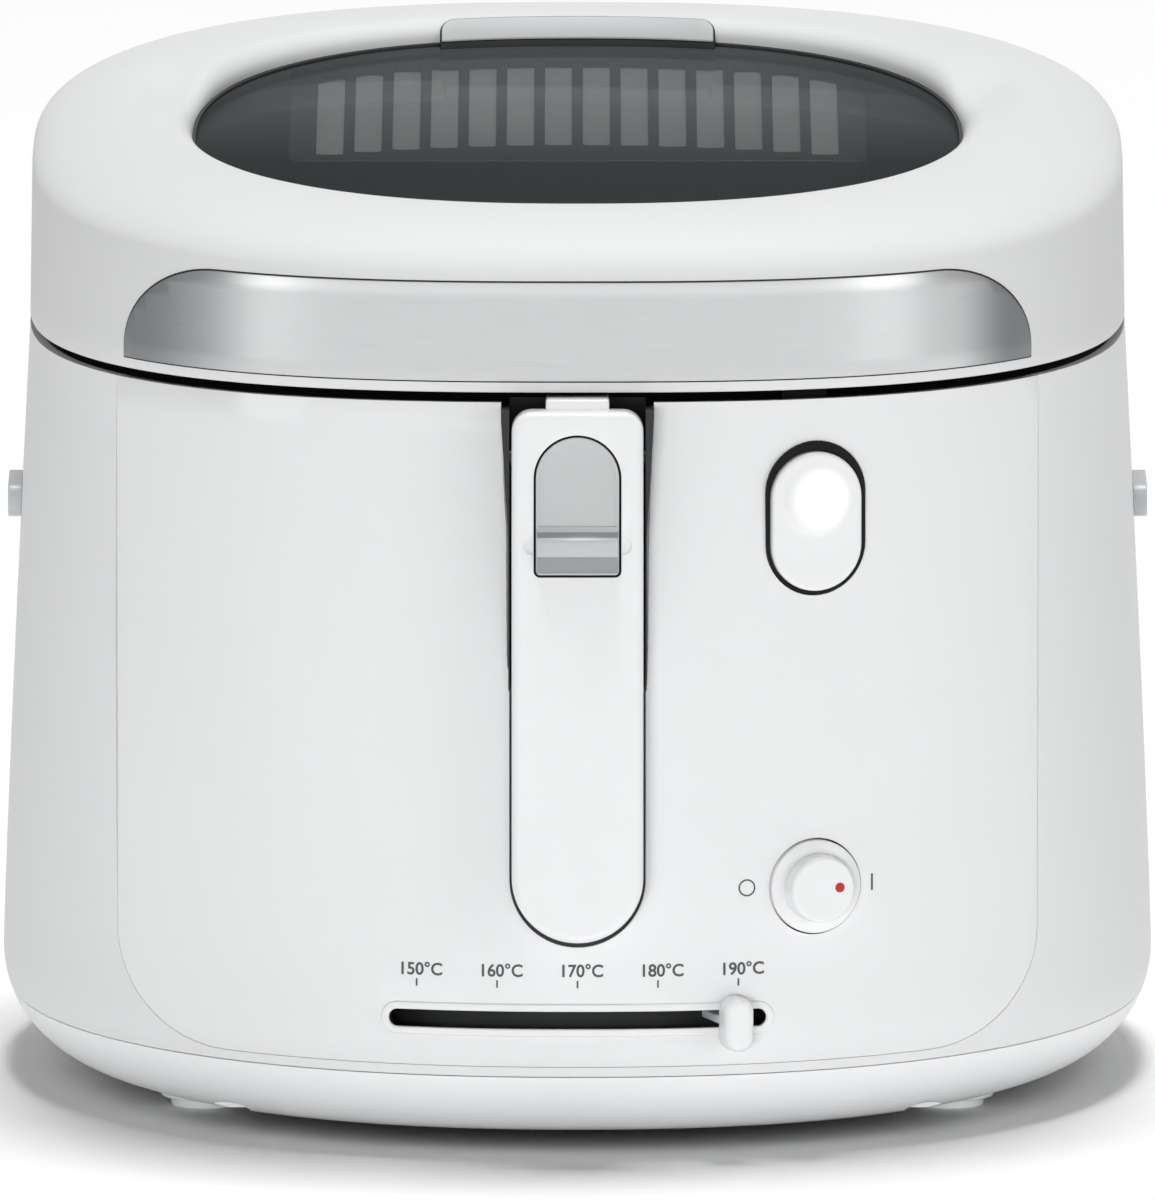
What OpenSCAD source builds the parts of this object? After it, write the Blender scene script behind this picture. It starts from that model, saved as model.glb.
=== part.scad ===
/* [Housing] */
// Greatest half width of the body, at the bulge
body_a = 151; // [140:1:182]
// Greatest half depth of the body, at the bulge
body_b = 166; // [158:1:200]
// How much the body narrows from the bulge up to the rim
body_flare = 7.5; // [3:0.5:14]
// Height of the body rim above the table
rim_z = 197.5; // [195:0.5:240]
// Height of the widest place
bulge_z = 31; // [28:0.5:38]
// Radius of the rounding under the bulge
under_r = 27; // [27:0.5:33]
// Height of the joint between skirt and housing
seam_z = 22; // [18:0.5:25]
// Roundness exponent of the oval at the seam
seam_n = 2.2; // [2:0.05:3]
// Roundness exponent of the oval at the rim
rim_n = 2.67; // [2:0.01:3.2]
// Wall of the housing and skirt
wall = 2.6; // [2:0.1:4]
// Height of the feet
foot_h = 5; // [3:0.5:8]
// Points around each oval
around = 72; // [48:4:96]

/* [Front panel] */
// Half width of the glossy front panel
facade_x = 119.5; // [105:0.5:125]
// Height of its lower edge
facade_z = 27; // [26:0.5:32]
// Radius of its lower corners
facade_r = 22; // [10:1:30]
// Seam round the front panel
seam_gap = 0.25; // [0.1:0.05:0.6]

/* [Lid] */
// Gap between the body rim and the lid
lid_gap = 2.5; // [1.5:0.1:4]
// Height of the lid wall above its lower edge, at the middle
lid_wall_h = 40; // [30:1:50]
// Rise of the rounded shoulder above the lid wall
lid_crown = 13.5; // [9:0.5:18]
// Slope of the lid top, rise per depth, down to the front
lid_slope = 0.067; // [0:0.001:0.09]
// Half width of the window opening
window_a = 101; // [90:1:108]
// Half depth of the window opening
window_b = 119; // [100:1:124]
// How deep the glass lies below the lid top
glass_depth = 5.8; // [4:0.1:8]
// Thickness of the glass
glass_t = 3; // [2:0.1:4]
// Wall of the lid
lid_wall = 2.5; // [2:0.1:3.5]
// Half width of the stainless band
band_x = 119.5; // [90:0.5:122]
// Height of the band
band_h = 27; // [18:0.5:30]
// Thickness of the band
band_t = 0.5; // [0.3:0.1:1]
// Angle that the lid opens to
lid_open = 80; // [60:1:85]
// Number of vent slots in the filter cover
vent_count = 14; // [8:1:14]
// Width of a vent slot
vent_w = 7.2; // [5:0.1:8]
// Spacing of the vent slots
vent_pitch = 10; // [9:0.1:10.5]

/* [Bowl and basket] */
// Half width of the bowl inside its rim
bowl_a = 110; // [95:1:112]
// Half depth of the bowl inside its rim
bowl_b = 124; // [105:1:126]
// Height of the bowl floor
bowl_z = 66; // [62:1:90]
// Wall of the bowl
bowl_wall = 1.5; // [1:0.1:2.5]
// Height of the basket
basket_h = 82; // [60:1:86]
// Gap between the basket and the bowl wall
basket_gap = 12; // [8:1:20]
// Travel of the basket from frying to draining
basket_lift = 38; // [20:1:38]

/* [Handle] */
// Width of the handle
handle_w = 34; // [28:0.5:41]
// Length of the handle
handle_l = 138; // [110:1:145]
// Thickness of the handle
handle_t = 11.5; // [9:0.5:13]
// Angle that the handle folds out to
handle_fold = 88; // [60:1:88]
// Radius of the handle pin
handle_pin_r = 2; // [1.5:0.1:2.5]
// Travel of the unlock button
unlock_travel = 2.5; // [1.5:0.1:3]

/* [Controls] */
// Across position of the release button and the power knob
control_x = 61.5; // [55:0.5:70]
// Height of the release button
release_z = 166.5; // [150:0.5:170]
// Width of the release button
release_w = 25; // [20:0.5:28]
// Length of the release button
release_l = 37.5; // [32:0.5:42]
// Travel of the release button
release_travel = 4; // [2:0.5:5]
// Height of the power knob
knob_z = 70.5; // [64:0.5:80]
// Radius of the power knob
knob_r = 9; // [8:0.5:11]
// Radius of the ring round the power knob
knob_ring_r = 12.2; // [11:0.1:14]
// Height of the temperature slot
slot_z = 37; // [35:0.5:44]
// Half length of the temperature slot
slot_x = 48.3; // [40:0.5:52]
// Height of the slot opening
slot_h = 4.6; // [4:0.1:6]
// Distance of the lever's knob from its shaft
lever_r = 112; // [105:1:135]
// Across position of the 190 mark, where the lever rests
mark_x = 41; // [30:0.5:42]

/* [Hidden] */
clear = 0.3;                    // between bodies that pass each other
fit = 0.05;                     // radial running fit of a pin in its hole
eps = 0.01;
deck_t = 4;                     // thickness of the rim deck
deck_z = rim_z - 1;             // top of the rim deck
lid_z = rim_z + lid_gap;        // lower edge of the lid
flange_w = 6;                   // width of the bowl's flange
flange_t = 1.5;
hinge_y = body_b - body_flare + 6;
hinge_z = rim_z - 3.5;
hinge_pin_r = 2.5;
hinge_x = 45;                   // half width of the fixed hinge bracket
hinge_arm_w = 15;
bracket_d = 16;                 // depth of the fixed hinge bracket
pivot_z = rim_z - 13.5;
pivot_y = surf_y(0, pivot_z) - 5.3;
handle_tilt = atan((surf_y(0, pivot_z) - surf_y(0, pivot_z - 125)) / 125);
handle_front = 7.5;             // pivot to the handle's front face
handle_top = 12.5;              // pivot to the handle's top end
neck_w = 16.4;
neck_top = 15.2;                // pivot to the neck's top
neck_back = 14;                 // pivot to the neck's inner end
cheek_t = 2.1;                  // thickness of the channel's side cheeks
channel_w = handle_w + 1.2 + 2 * cheek_t;
channel_back = pivot_y + 21.5;  // inner face of the channel's back wall
channel_low = pivot_z - 62;
channel_t = 1.5;
lever_rest = asin(mark_x / lever_r);
lever_out = 5.3;                // the lever knob's middle stands this far off the panel at the mark
lever_y = surf_y(mark_x, slot_z) - lever_out + sqrt(lever_r * lever_r - mark_x * mark_x);
lever_t = 2;
lever_w = 7;
tip_w = 8.5;
tip_h = 15;
tip_d = 8;
grip_z = 149.5;
grip_h = 9;
grip_l = 30;
gland_z = 50;
gland_r = 8;
// The gland reaches as far behind the origin as the handle's foot reaches before it
gland_end = handle_front * cos(handle_tilt) - pivot_y
    + (handle_l - handle_top) * sin(handle_tilt);
cord_r = 3.6;
lid_a = body_a - body_flare;
lid_b = body_b - body_flare;
window_n = 2.35;
glass_slope = lid_slope + 0.018;
glass_z = lid_z + lid_wall_h + lid_crown - glass_depth;
lip = 4;                        // how far the lid's lip reaches over the glass
panel_z = lid_z + 3;
panel_t = 2;
seal_t = 0.8;                   // thickness of the window gasket
post_x = 55;
post_y = 50;
heater_tube = 4;
thermostat_r = 11;
heater_r = -lever_y - thermostat_r - heater_tube - 2;   // the ring passes inside the thermostat

// ---- outlines -------------------------------------------------------------

// Power that keeps the sign of its base
function spow(v, p) = sign(v) * pow(abs(v), p);

// Points of an oval with half axes a and b and roundness n, seen from above
function oval(a, b, n, yc = 0) = [for (i = [0 : around - 1])
    let (t = 360 * (i + 0.5) / around)
    [a * spow(cos(t), 2 / n), yc + b * spow(sin(t), 2 / n)]];

// The same oval as a ring in space, at height z, rising by slope towards the back
function ring(a, b, n, z, slope = 0, yc = 0) =
    [for (p = oval(a, b, n, yc)) [p.x, p.y, z + slope * p.y]];

// How far the body stands inside its widest outline at height z
function body_in(z) = z >= bulge_z
    ? body_flare * pow((z - bulge_z) / (rim_z - bulge_z), 1.15)
    : under_r - sqrt(under_r * under_r - pow(bulge_z - z, 2));
function body_n(z) = seam_n + (rim_n - seam_n) * max(0, z - seam_z) / (rim_z - seam_z);
function body_ring(z, inset = 0) =
    ring(body_a - body_in(z) - inset, body_b - body_in(z) - inset, body_n(z), z);

// The body's front surface at x and z, and how far its normal turns to the side
function rel_x(x, z) = abs(x) / (body_a - body_in(z));
function surf_y(x, z) = -(body_b - body_in(z))
    * pow(1 - pow(rel_x(x, z), body_n(z)), 1 / body_n(z));
function surf_turn(x, z) = let (n = body_n(z), q = rel_x(x, z))
    sign(x) * atan((body_b - body_in(z)) / (body_a - body_in(z)) * pow(q, n - 1)
        / pow(1 - pow(q, n), 1 - 1 / n));

// A wall through a list of rings: a closed loop of rings, or capped at both ends
module skin(rings, loop = true) {
    m = len(rings);
    pts = [for (r = rings) each r];
    last = loop ? m - 1 : m - 2;
    sides = [for (k = [0 : last], i = [0 : around - 1])
        let (j = (i + 1) % around, u = k * around, v = ((k + 1) % m) * around)
        each [[u + i, v + i, v + j], [u + i, v + j, u + j]]];
    caps = loop ? [] : [[for (i = [0 : around - 1]) i],
        [for (i = [around - 1 : -1 : 0]) (m - 1) * around + i]];
    polyhedron(points = pts, faces = concat(sides, caps), convexity = 8);
}

// Puts its children on the body's front surface, their -Y along the outward normal
module on_front(x, z) {
    translate([x, surf_y(x, z), z]) rotate([0, 0, surf_turn(x, z)]) children();
}

// An upright slot outline, w wide and l long
module stadium(w, l) {
    square([w, l - w], center = true);
    for (s = [-1, 1]) translate([0, s * (l - w) / 2]) circle(d = w, $fn = 48);
}

// Turns a flat outline drawn in X and Z into a block from y0 to y1
module front_block(y0, y1) {
    translate([0, y1, 0]) rotate([90, 0, 0]) linear_extrude(y1 - y0) children();
}

// Turns a flat outline drawn in Y and Z into a block w wide, centred on x
module side_block(w, x = 0) {
    translate([x - w / 2, 0, 0]) rotate([90, 0, 90]) linear_extrude(w) children();
}

// A cylinder along X from x0 to x1
module x_rod(x0, x1, r) {
    translate([x0, 0, 0]) rotate([0, 90, 0]) cylinder(h = x1 - x0, r = r, $fn = 48);
}

// A cylinder along Y from y0 to y1
module y_rod(y0, y1, r) {
    translate([0, y1, 0]) rotate([90, 0, 0]) cylinder(h = y1 - y0, r = r, $fn = 48);
}

// ---- housing --------------------------------------------------------------

// Outline of the front panel, grown by g
module facade_outline(g) {
    top = rim_z + 5;
    r = facade_r + g;
    x = facade_x + g;
    z = facade_z - g;
    polygon(concat([[x, top], [-x, top]],
        [for (t = [180 : 15 : 270]) [-x + r + r * cos(t), z + r + r * sin(t)]],
        [for (t = [270 : 15 : 360]) [x - r + r * cos(t), z + r + r * sin(t)]]));
}

body_heights = [seam_z, bulge_z, 55, 90, 125, 160, rim_z];

// The wall of the whole body, from the seam to the rim
module body_wall() {
    inner = [for (i = [len(body_heights) - 1 : -1 : 0]) body_ring(body_heights[i], wall)];
    skin(concat([for (z = body_heights) body_ring(z)], inner));
}

// What passes through the front wall, grown by g
module channel_cut(g) {
    translate([-channel_w / 2 - g, -body_b - 10, channel_low - g])
        cube([channel_w + 2 * g, 60, rim_z]);
}

module outer_housing() {
    color("whitesmoke") difference() {
        body_wall();
        front_block(-body_b - 20, -30) facade_outline(seam_gap);
        translate([-hinge_x, 100, hinge_z - 7.5]) cube([2 * hinge_x, 100, 30]);
        translate([0, body_b, gland_z]) y_rod(-20, 20, gland_r);
    }
}

ring_w = release_w + 3.2;
ring_l = release_l + 3.6;

// The temperature slot through the front wall, h high
module slot_cut(h) {
    front_block(-body_b - 20, -120) translate([0, slot_z]) rotate(90)
        stadium(h, 2 * slot_x + h - slot_h);
}

module front_facade() {
    color("white") difference() {
        intersection() {
            body_wall();
            front_block(-body_b - 20, -30) facade_outline(0);
        }
        channel_cut(0.15);
        on_front(control_x, release_z) front_block(-20, 20)
            stadium(ring_w + 0.2, ring_l + 0.2);
        on_front(control_x, knob_z) y_rod(-20, 20, knob_ring_r + 0.1);
        slot_cut(slot_h + 4.2);
    }
}

skirt_in = 30;   // width of the flange that the feet stand on
skirt_t = 3;

module base_skirt() {
    z0 = foot_h;
    zs = [z0, z0 + 2, z0 + 5, z0 + 9, z0 + 13, seam_z];
    color("whitesmoke") skin(concat([for (z = zs) body_ring(z)],
        [body_ring(seam_z, wall), body_ring(z0 + 9, wall + 1.5), body_ring(z0 + skirt_t, wall),
        ring(body_a - body_in(z0) - skirt_in, body_b - body_in(z0) - skirt_in, seam_n,
            z0 + skirt_t),
        ring(body_a - body_in(z0) - skirt_in, body_b - body_in(z0) - skirt_in, seam_n, z0)]));
}

plate_a = body_a - body_in(foot_h) - 4;
plate_b = body_b - body_in(foot_h) - 4;
plate_z = foot_h + skirt_t;
plate_t = 2.5;

module bottom_plate() {
    color("dimgray") translate([0, 0, plate_z]) linear_extrude(plate_t) difference() {
        polygon(oval(plate_a - 4, plate_b - 4, seam_n));
        for (i = [-3 : 3]) translate([i * 12, 0]) stadium(4, 50);
        at_posts() circle(r = screw_r, $fn = 32);
    }
}

screw_r = 1.8;

// Repeats its children at the four bowl posts
module at_posts() {
    for (sx = [-1, 1], sy = [-1, 1]) translate([sx * post_x, sy * post_y]) children();
}

// The feet stand on the middle line of the skirt's flange
foot_in = body_in(foot_h) + skirt_in / 2;
foot_share = 0.84;
foot_x = (body_a - foot_in) * foot_share;
foot_y = (body_b - foot_in) * pow(1 - pow(foot_share, seam_n), 1 / seam_n);

module feet() {
    color("gainsboro") for (sx = [-1, 1], sy = [-1, 1])
        translate([sx * foot_x, sy * foot_y, 0]) {
            cylinder(h = foot_h, r = 6.5, $fn = 48);
            translate([0, 0, foot_h / 2]) cylinder(h = foot_h / 2, r = 8.5, $fn = 48);
        }
}

module base_screws() {
    color("silver") at_posts() {
        translate([0, 0, plate_z - 2]) cylinder(h = 2, r = 3.5, $fn = 32);
        translate([0, 0, plate_z - 1]) cylinder(h = 11, r = screw_r, $fn = 32);
    }
}

// ---- handle channel and rim ----------------------------------------------

module handle_channel() {
    low_y = surf_y(0, channel_low);
    front = pivot_y - 4;
    color("#26282a") difference() {
        side_block(channel_w) polygon([[channel_back + channel_t, deck_z],
            [channel_back + channel_t, pivot_z - 23], [low_y + 5, channel_low],
            [low_y + 0.5, channel_low], [front, pivot_z - 18], [front, deck_z]]);
        side_block(channel_w - 2 * cheek_t) polygon([[channel_back, rim_z],
            [channel_back, pivot_z - 22], [low_y + 3.5, channel_low + channel_t],
            [-body_b - 20, channel_low + channel_t], [-body_b - 20, rim_z]]);
        translate([0, pivot_y, pivot_z]) x_rod(-40, 40, handle_pin_r);
    }
}

module handle_pin() {
    color("silver") translate([0, pivot_y, pivot_z])
        x_rod(-channel_w / 2, channel_w / 2, handle_pin_r);
}

bowl_out_a = bowl_a + bowl_wall;
bowl_out_b = bowl_b + bowl_wall;

module rim_collar() {
    in_a = bowl_out_a + 0.5;
    in_b = bowl_out_b + 0.5;
    rim_a = body_a - body_flare;
    rim_b = body_b - body_flare;
    color("#26282a") difference() {
        translate([0, 0, deck_z - deck_t]) linear_extrude(deck_t) difference() {
            polygon(oval(rim_a - wall - 0.4, rim_b - wall - 0.4, rim_n));
            polygon(oval(in_a, in_b, rim_n));
            translate([-channel_w / 2 - 0.2, -rim_b - 5])
                square([channel_w + 0.4, 5 + rim_b + channel_back + channel_t + 0.2]);
            translate([-hinge_x, hinge_y - bracket_d - 0.1]) square([2 * hinge_x, 40]);
        }
        on_front(control_x, release_z) translate([-8, 9, 0]) cube([16, 13.5, rim_z]);
    }
}

// The bowl's inner and outer surfaces, in steps from the rim down
bowl_steps = [[32, 0], [18, 3], [8, 12], [4, 30]];

module oil_bowl() {
    z1 = deck_z + flange_t;
    n = rim_n;
    fa = bowl_out_a + flange_w;
    fb = bowl_out_b + flange_w;
    inner = [for (i = [len(bowl_steps) - 1 : -1 : 0]) let (s = bowl_steps[i])
        ring(bowl_a - s[0], bowl_b - s[0], n, bowl_z + s[1])];
    outer = [for (s = bowl_steps)
        ring(bowl_out_a - s[0], bowl_out_b - s[0], n, bowl_z + s[1] - bowl_wall)];
    color("#3a3c3e") skin(concat(outer, [ring(bowl_out_a, bowl_out_b, n, deck_z),
        ring(fa, fb, n, deck_z), ring(fa, fb, n, z1), ring(bowl_a, bowl_b, n, z1)], inner), false);
}

module bowl_posts() {
    top = bowl_z - bowl_wall;
    color("silver") at_posts() translate([0, 0, plate_z + plate_t]) difference() {
        cylinder(h = top - plate_z - plate_t, r = 6, $fn = 48);
        translate([0, 0, -eps]) cylinder(h = 10, r = screw_r, $fn = 32);
    }
}

// ---- heating and electrics ------------------------------------------------

module heating_element() {
    color("gray") translate([0, 0, bowl_z - bowl_wall - heater_tube])
        rotate([0, 0, 100]) rotate_extrude(angle = 340, $fn = 96)
            translate([heater_r, 0]) circle(r = heater_tube, $fn = 32);
}

module thermal_fuse() {
    color("silver") translate([0, 0, bowl_z - bowl_wall - 3]) x_rod(-12, 12, 3);
}

module thermostat() {
    z0 = slot_z + 8;
    color("tan") translate([0, lever_y, z0]) difference() {
        cylinder(h = bowl_z - bowl_wall - z0, r = thermostat_r, $fn = 48);
        translate([0, 0, -eps]) cylinder(h = 9, r = 3 + fit, $fn = 48);
    }
}

module power_switch() {
    color("black") on_front(control_x, knob_z) difference() {
        translate([-11, 20, -12]) cube([22, 18, 24]);
        y_rod(10, 32, 3 + fit);
    }
}

module switch_bracket() {
    z0 = plate_z + plate_t;
    color("lightgray") on_front(control_x, knob_z) difference() {
        translate([-13, 18, z0 - knob_z]) cube([26, 2, knob_z + 14 - z0]);
        y_rod(10, 30, 4.5);
    }
}

module terminal_block() {
    color("ivory") translate([-22, 104, plate_z + plate_t]) difference() {
        cube([44, 20, 18]);
        for (i = [0 : 2]) translate([8 + i * 14, 10, 8]) cylinder(h = 20, r = 3, $fn = 32);
    }
}

// The solid that the body's outer wall bounds
module body_solid() {
    skin([for (z = body_heights) body_ring(z)], false);
}

module cord_gland() {
    face = body_b - body_in(gland_z);
    color("#26282a") difference() {
        translate([0, 0, gland_z]) union() {
            y_rod(face - 8, gland_end, gland_r);
            difference() {
                y_rod(face - 3, face + 4, gland_r + 4);
                translate([0, 0, -gland_z]) body_solid();
            }
        }
        translate([0, 0, gland_z]) y_rod(face - 10, face + 20, cord_r);
    }
}

module side_grips() {
    color("darkgray") for (s = [-1, 1]) difference() {
        translate([s * (body_a - body_in(grip_z) + 0.5), 0, grip_z]) rotate([90, 0, 90])
            translate([0, 0, -3]) linear_extrude(6) rotate(90) stadium(grip_h, grip_l);
        body_solid();
    }
}

// ---- hinge ----------------------------------------------------------------

knuckle_r = 5.5;

module hinge_bracket() {
    color("whitesmoke") difference() {
        side_block(2 * hinge_x - 0.4) union() {
            polygon([[hinge_y - bracket_d, hinge_z - 7.3], [hinge_y, hinge_z - knuckle_r],
                [hinge_y, rim_z - 0.6], [hinge_y - bracket_d, rim_z - 1]]);
            translate([hinge_y, hinge_z]) circle(r = knuckle_r, $fn = 48);
        }
        translate([0, hinge_y, hinge_z]) x_rod(-60, 60, hinge_pin_r);
    }
}

module hinge_pin() {
    end = hinge_x + 1.5 + hinge_arm_w;
    color("silver") translate([0, hinge_y, hinge_z]) x_rod(-end, end, hinge_pin_r);
}

// Outline of a lid hinge arm, in Y and Z
module arm_outline() {
    polygon([[hinge_y - 14, lid_z + 1], [hinge_y - 3, hinge_z + 2], [hinge_y + 5.4, hinge_z],
        [hinge_y + 5.4, lid_z + 6], [hinge_y - 5, lid_z + 16], [hinge_y - 14, lid_z + 16]]);
}

module arms_block(g) {
    for (s = [-1, 1]) side_block(hinge_arm_w + 2 * g, s * (hinge_x + 1.5 + hinge_arm_w / 2))
        offset(delta = g) arm_outline();
}

module lid_hinge_arms() {
    color("whitesmoke") difference() {
        for (s = [-1, 1]) side_block(hinge_arm_w, s * (hinge_x + 1.5 + hinge_arm_w / 2)) union() {
            arm_outline();
            translate([hinge_y, hinge_z]) circle(r = knuckle_r, $fn = 48);
        }
        translate([0, hinge_y, hinge_z]) x_rod(-80, 80, hinge_pin_r + fit);
    }
}

// ---- lid ------------------------------------------------------------------

// Height of the lid's top edge at depth y
function lid_top(y) = lid_z + lid_wall_h + lid_crown + lid_slope * y;
function glass_top(y) = glass_z + glass_slope * y;
function mix(p, q, f) = p + (q - p) * f;

// A ring of the lid's shoulder: t runs from the wall (0) to the crest (90)
function lid_ring(t, inset = 0) = let (f = 0.95 * (1 - cos(t)))
    ring(mix(lid_a - 0.6 - inset, window_a, f), mix(lid_b - 0.6 - inset, window_b, f),
        mix(rim_n, window_n, f), lid_z + lid_wall_h + lid_crown * sin(t) - inset, lid_slope);
function window_ring(in, dz) = ring(window_a - in, window_b - in, window_n, glass_z + dz,
    glass_slope);

module lid_wall_skin() {
    turns = [0, 12, 25, 40, 55, 72, 90];
    outer = [for (t = turns) lid_ring(t)];
    inner = [for (i = [len(turns) - 1 : -1 : 0]) lid_ring(turns[i], lid_wall)];
    edge = ring(window_a, window_b, window_n, lid_z + lid_wall_h + lid_crown - 1, lid_slope);
    skin(concat([ring(lid_a, lid_b, rim_n, lid_z)], outer, [edge, window_ring(lip, 2.3),
        window_ring(lip, seal_t), window_ring(-1.5, seal_t)], inner,
        [ring(lid_a - lid_wall, lid_b - lid_wall, rim_n, lid_z)]));
}

plaque_w = 72;

module plaque_block(g) {
    y0 = window_b - 14;
    y1 = window_b + 2.5;
    side_block(plaque_w + 2 * g) polygon([[y0, glass_top(y0) - g], [y0, glass_top(y0) + 1.6],
        [y1 + g, lid_top(y1) + 0.5], [y1 + g, lid_top(y1) - 1.2 - g],
        [window_b - lip, glass_top(window_b - lip) - g]]);
}

module lid_shell() {
    color("whitesmoke") difference() {
        lid_wall_skin();
        arms_block(0.05);
        plaque_block(0.05);
    }
}

module window_plaque() {
    color("silver") plaque_block(0);
}

module window_glass() {
    color([0.2, 0.22, 0.24, 0.7]) skin([window_ring(0.5, -glass_t), window_ring(0.5, 0)], false);
}

module window_gasket() {
    color("#202122") difference() {
        skin([window_ring(0.5, 0), window_ring(0.5, seal_t),
            window_ring(lip, seal_t), window_ring(lip, 0)]);
        plaque_block(0.05);
    }
}

module band_outline() {
    r = 20;
    z0 = lid_z + 3;
    z1 = z0 + band_h;
    polygon(concat([[band_x, z0], [band_x, z1 - r]],
        [for (t = [0 : 10 : 90]) [band_x - r + r * cos(t), z1 - r + r * sin(t)]],
        [for (t = [90 : 10 : 180]) [r - band_x + r * cos(t), z1 - r + r * sin(t)]],
        [[-band_x, z1 - r], [-band_x, z0]]));
}

module trim_band() {
    color("lightgray") intersection() {
        skin([ring(lid_a + band_t, lid_b + band_t, rim_n, lid_z),
            ring(lid_a - 0.6 + band_t, lid_b - 0.6 + band_t, rim_n, lid_z + lid_wall_h, lid_slope),
            lid_ring(0), ring(lid_a, lid_b, rim_n, lid_z)]);
        front_block(-body_b - 20, -60) band_outline();
    }
}

cover_x = 76;
cover_y0 = -16;
cover_y1 = 108;
cover_top = glass_top(cover_y0) - glass_t - 1.5;
cover_t = 2.5;

module filter_cover() {
    z0 = panel_z + panel_t;
    color("#3c4043") difference() {
        translate([-cover_x, cover_y0, z0]) cube([2 * cover_x, cover_y1 - cover_y0, cover_top - z0]);
        translate([2 - cover_x, cover_y0 + 2, z0 - 1])
            cube([2 * cover_x - 4, cover_y1 - cover_y0 - 4, cover_top - cover_t - z0 + 1]);
        for (i = [0 : vent_count - 1])
            translate([(i - (vent_count - 1) / 2) * vent_pitch, (cover_y0 + cover_y1) / 2, z0])
                linear_extrude(60) square([vent_w, cover_y1 - cover_y0 - 12], center = true);
    }
}

module filter_cartridge() {
    z0 = panel_z + panel_t;
    color("#7d8884") translate([3 - cover_x, cover_y0 + 3, z0])
        cube([2 * cover_x - 6, cover_y1 - cover_y0 - 6, cover_top - cover_t - z0 - 0.5]);
}

well_x = 82;
well_y0 = -104;
well_y1 = cover_y0 - 4;

module lid_inner_panel() {
    top = glass_top(well_y0) - glass_t - 2;
    color("gainsboro") difference() {
        union() {
            translate([0, 0, panel_z]) linear_extrude(panel_t)
                polygon(oval(lid_a - lid_wall - 0.6, lid_b - lid_wall - 0.6, rim_n));
            translate([-well_x, well_y0, panel_z])
                cube([2 * well_x, well_y1 - well_y0, top - panel_z]);
        }
        translate([2 - well_x, well_y0 + 2, panel_z - 1])
            cube([2 * well_x - 4, well_y1 - well_y0 - 4, 60]);
        for (i = [-5 : 5]) translate([i * 11, 50, panel_z - 1]) linear_extrude(5)
            square([6, 80], center = true);
        arms_block(0.05);
        for (s = [-1, 1], y = [-45, 45]) translate([s * screw_x, y, panel_z - 1])
            cylinder(h = 5, r = screw_r, $fn = 32);
        on_front(control_x, release_z) translate([-6.2, 9.8, 20]) cube([12.4, 3.9, rim_z]);
    }
}

screw_x = 126;

module lid_screws() {
    color("silver") for (s = [-1, 1], y = [-45, 45]) translate([s * screw_x, y, panel_z - 1.8]) {
        cylinder(h = 1.8, r = 3.5, $fn = 32);
        cylinder(h = 10, r = screw_r, $fn = 32);
    }
}

module lid_gasket() {
    z0 = deck_z + flange_t + clear;
    color("#3a3c3e") translate([0, 0, z0]) linear_extrude(panel_z - z0) difference() {
        polygon(oval(bowl_out_a + flange_w - 0.5, bowl_out_b + flange_w - 0.5, rim_n));
        polygon(oval(bowl_out_a + 0.5, bowl_out_b + 0.5, rim_n));
    }
}

catch_low = 20;      // lower end of the catch above the release button's centre

module lid_catch() {
    top = panel_z + panel_t - release_z;
    color("silver") on_front(control_x, release_z) difference() {
        translate([-6, 10, catch_low]) cube([12, 2.5, top - catch_low]);
        translate([-4, 5, catch_low + 3]) cube([8, 10, 5]);
    }
}

// ---- basket ---------------------------------------------------------------

basket_a = bowl_a - basket_gap;
basket_b = bowl_b - basket_gap;
basket_z = bowl_z + 4;
basket_n = 2.5;

module basket_mesh() {
    w = 1.5;
    top = basket_z + basket_h;
    outer = [[24, 0], [14, 2], [8, 9], [5, 30], [0, basket_h]];
    color("silver") union() {
        skin(concat([for (s = outer) ring(basket_a - s[0], basket_b - s[0], basket_n, basket_z + s[1])],
            [for (i = [len(outer) - 1 : -1 : 1])
                ring(basket_a - outer[i][0] - w, basket_b - outer[i][0] - w, basket_n,
                    i == len(outer) - 1 ? top : basket_z + outer[i][1] + 0.5)],
            [ring(basket_a - 24 - w, basket_b - 24 - w, basket_n, basket_z + w)]), false);
        for (sx = [-1, 1], sy = [-1, 1]) translate([sx * 40, sy * 50, bowl_z + clear])
            cylinder(h = basket_z - bowl_z - clear + 1, r = 2.5, $fn = 32);
    }
}

module basket_rim() {
    z = basket_z + basket_h;
    r = 3;
    color("silver") skin([ring(basket_a, basket_b, basket_n, z),
        ring(basket_a + 1, basket_b + 1, basket_n, z + r / 2),
        ring(basket_a, basket_b, basket_n, z + r),
        ring(basket_a - r, basket_b - r, basket_n, z + r),
        ring(basket_a - r, basket_b - r, basket_n, z)]);
}

module basket_bracket() {
    z0 = basket_z + basket_h - 26;
    y0 = -basket_b - 3;
    color("silver") side_block(30) polygon([[y0, z0], [y0, z0 + 36], [y0 + 9, z0 + 36],
        [y0 + 9, z0 + 34.5], [y0 + 1.5, z0 + 34.5], [y0 + 1.5, z0]]);
}

// ---- handle ---------------------------------------------------------------

module in_handle() {
    translate([0, pivot_y, pivot_z]) rotate([-handle_tilt, 0, 0]) children();
}

module handle_outline() {
    r = 5.3;
    w = handle_w;
    low = handle_top - handle_l + w / 2;
    translate([0, low]) circle(d = w, $fn = 64);
    translate([-w / 2, low]) square([w, handle_top - r - low]);
    translate([r - w / 2, low]) square([w - 2 * r, handle_top - low]);
    for (s = [-1, 1]) translate([s * (w / 2 - r), handle_top - r]) circle(r = r, $fn = 48);
}

unlock_w = 22;
unlock_top = handle_top - 6.5;
unlock_low = handle_top - 43.5;
unlock_seat = 3.2;            // pivot to the floor of the button's pocket

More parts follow.
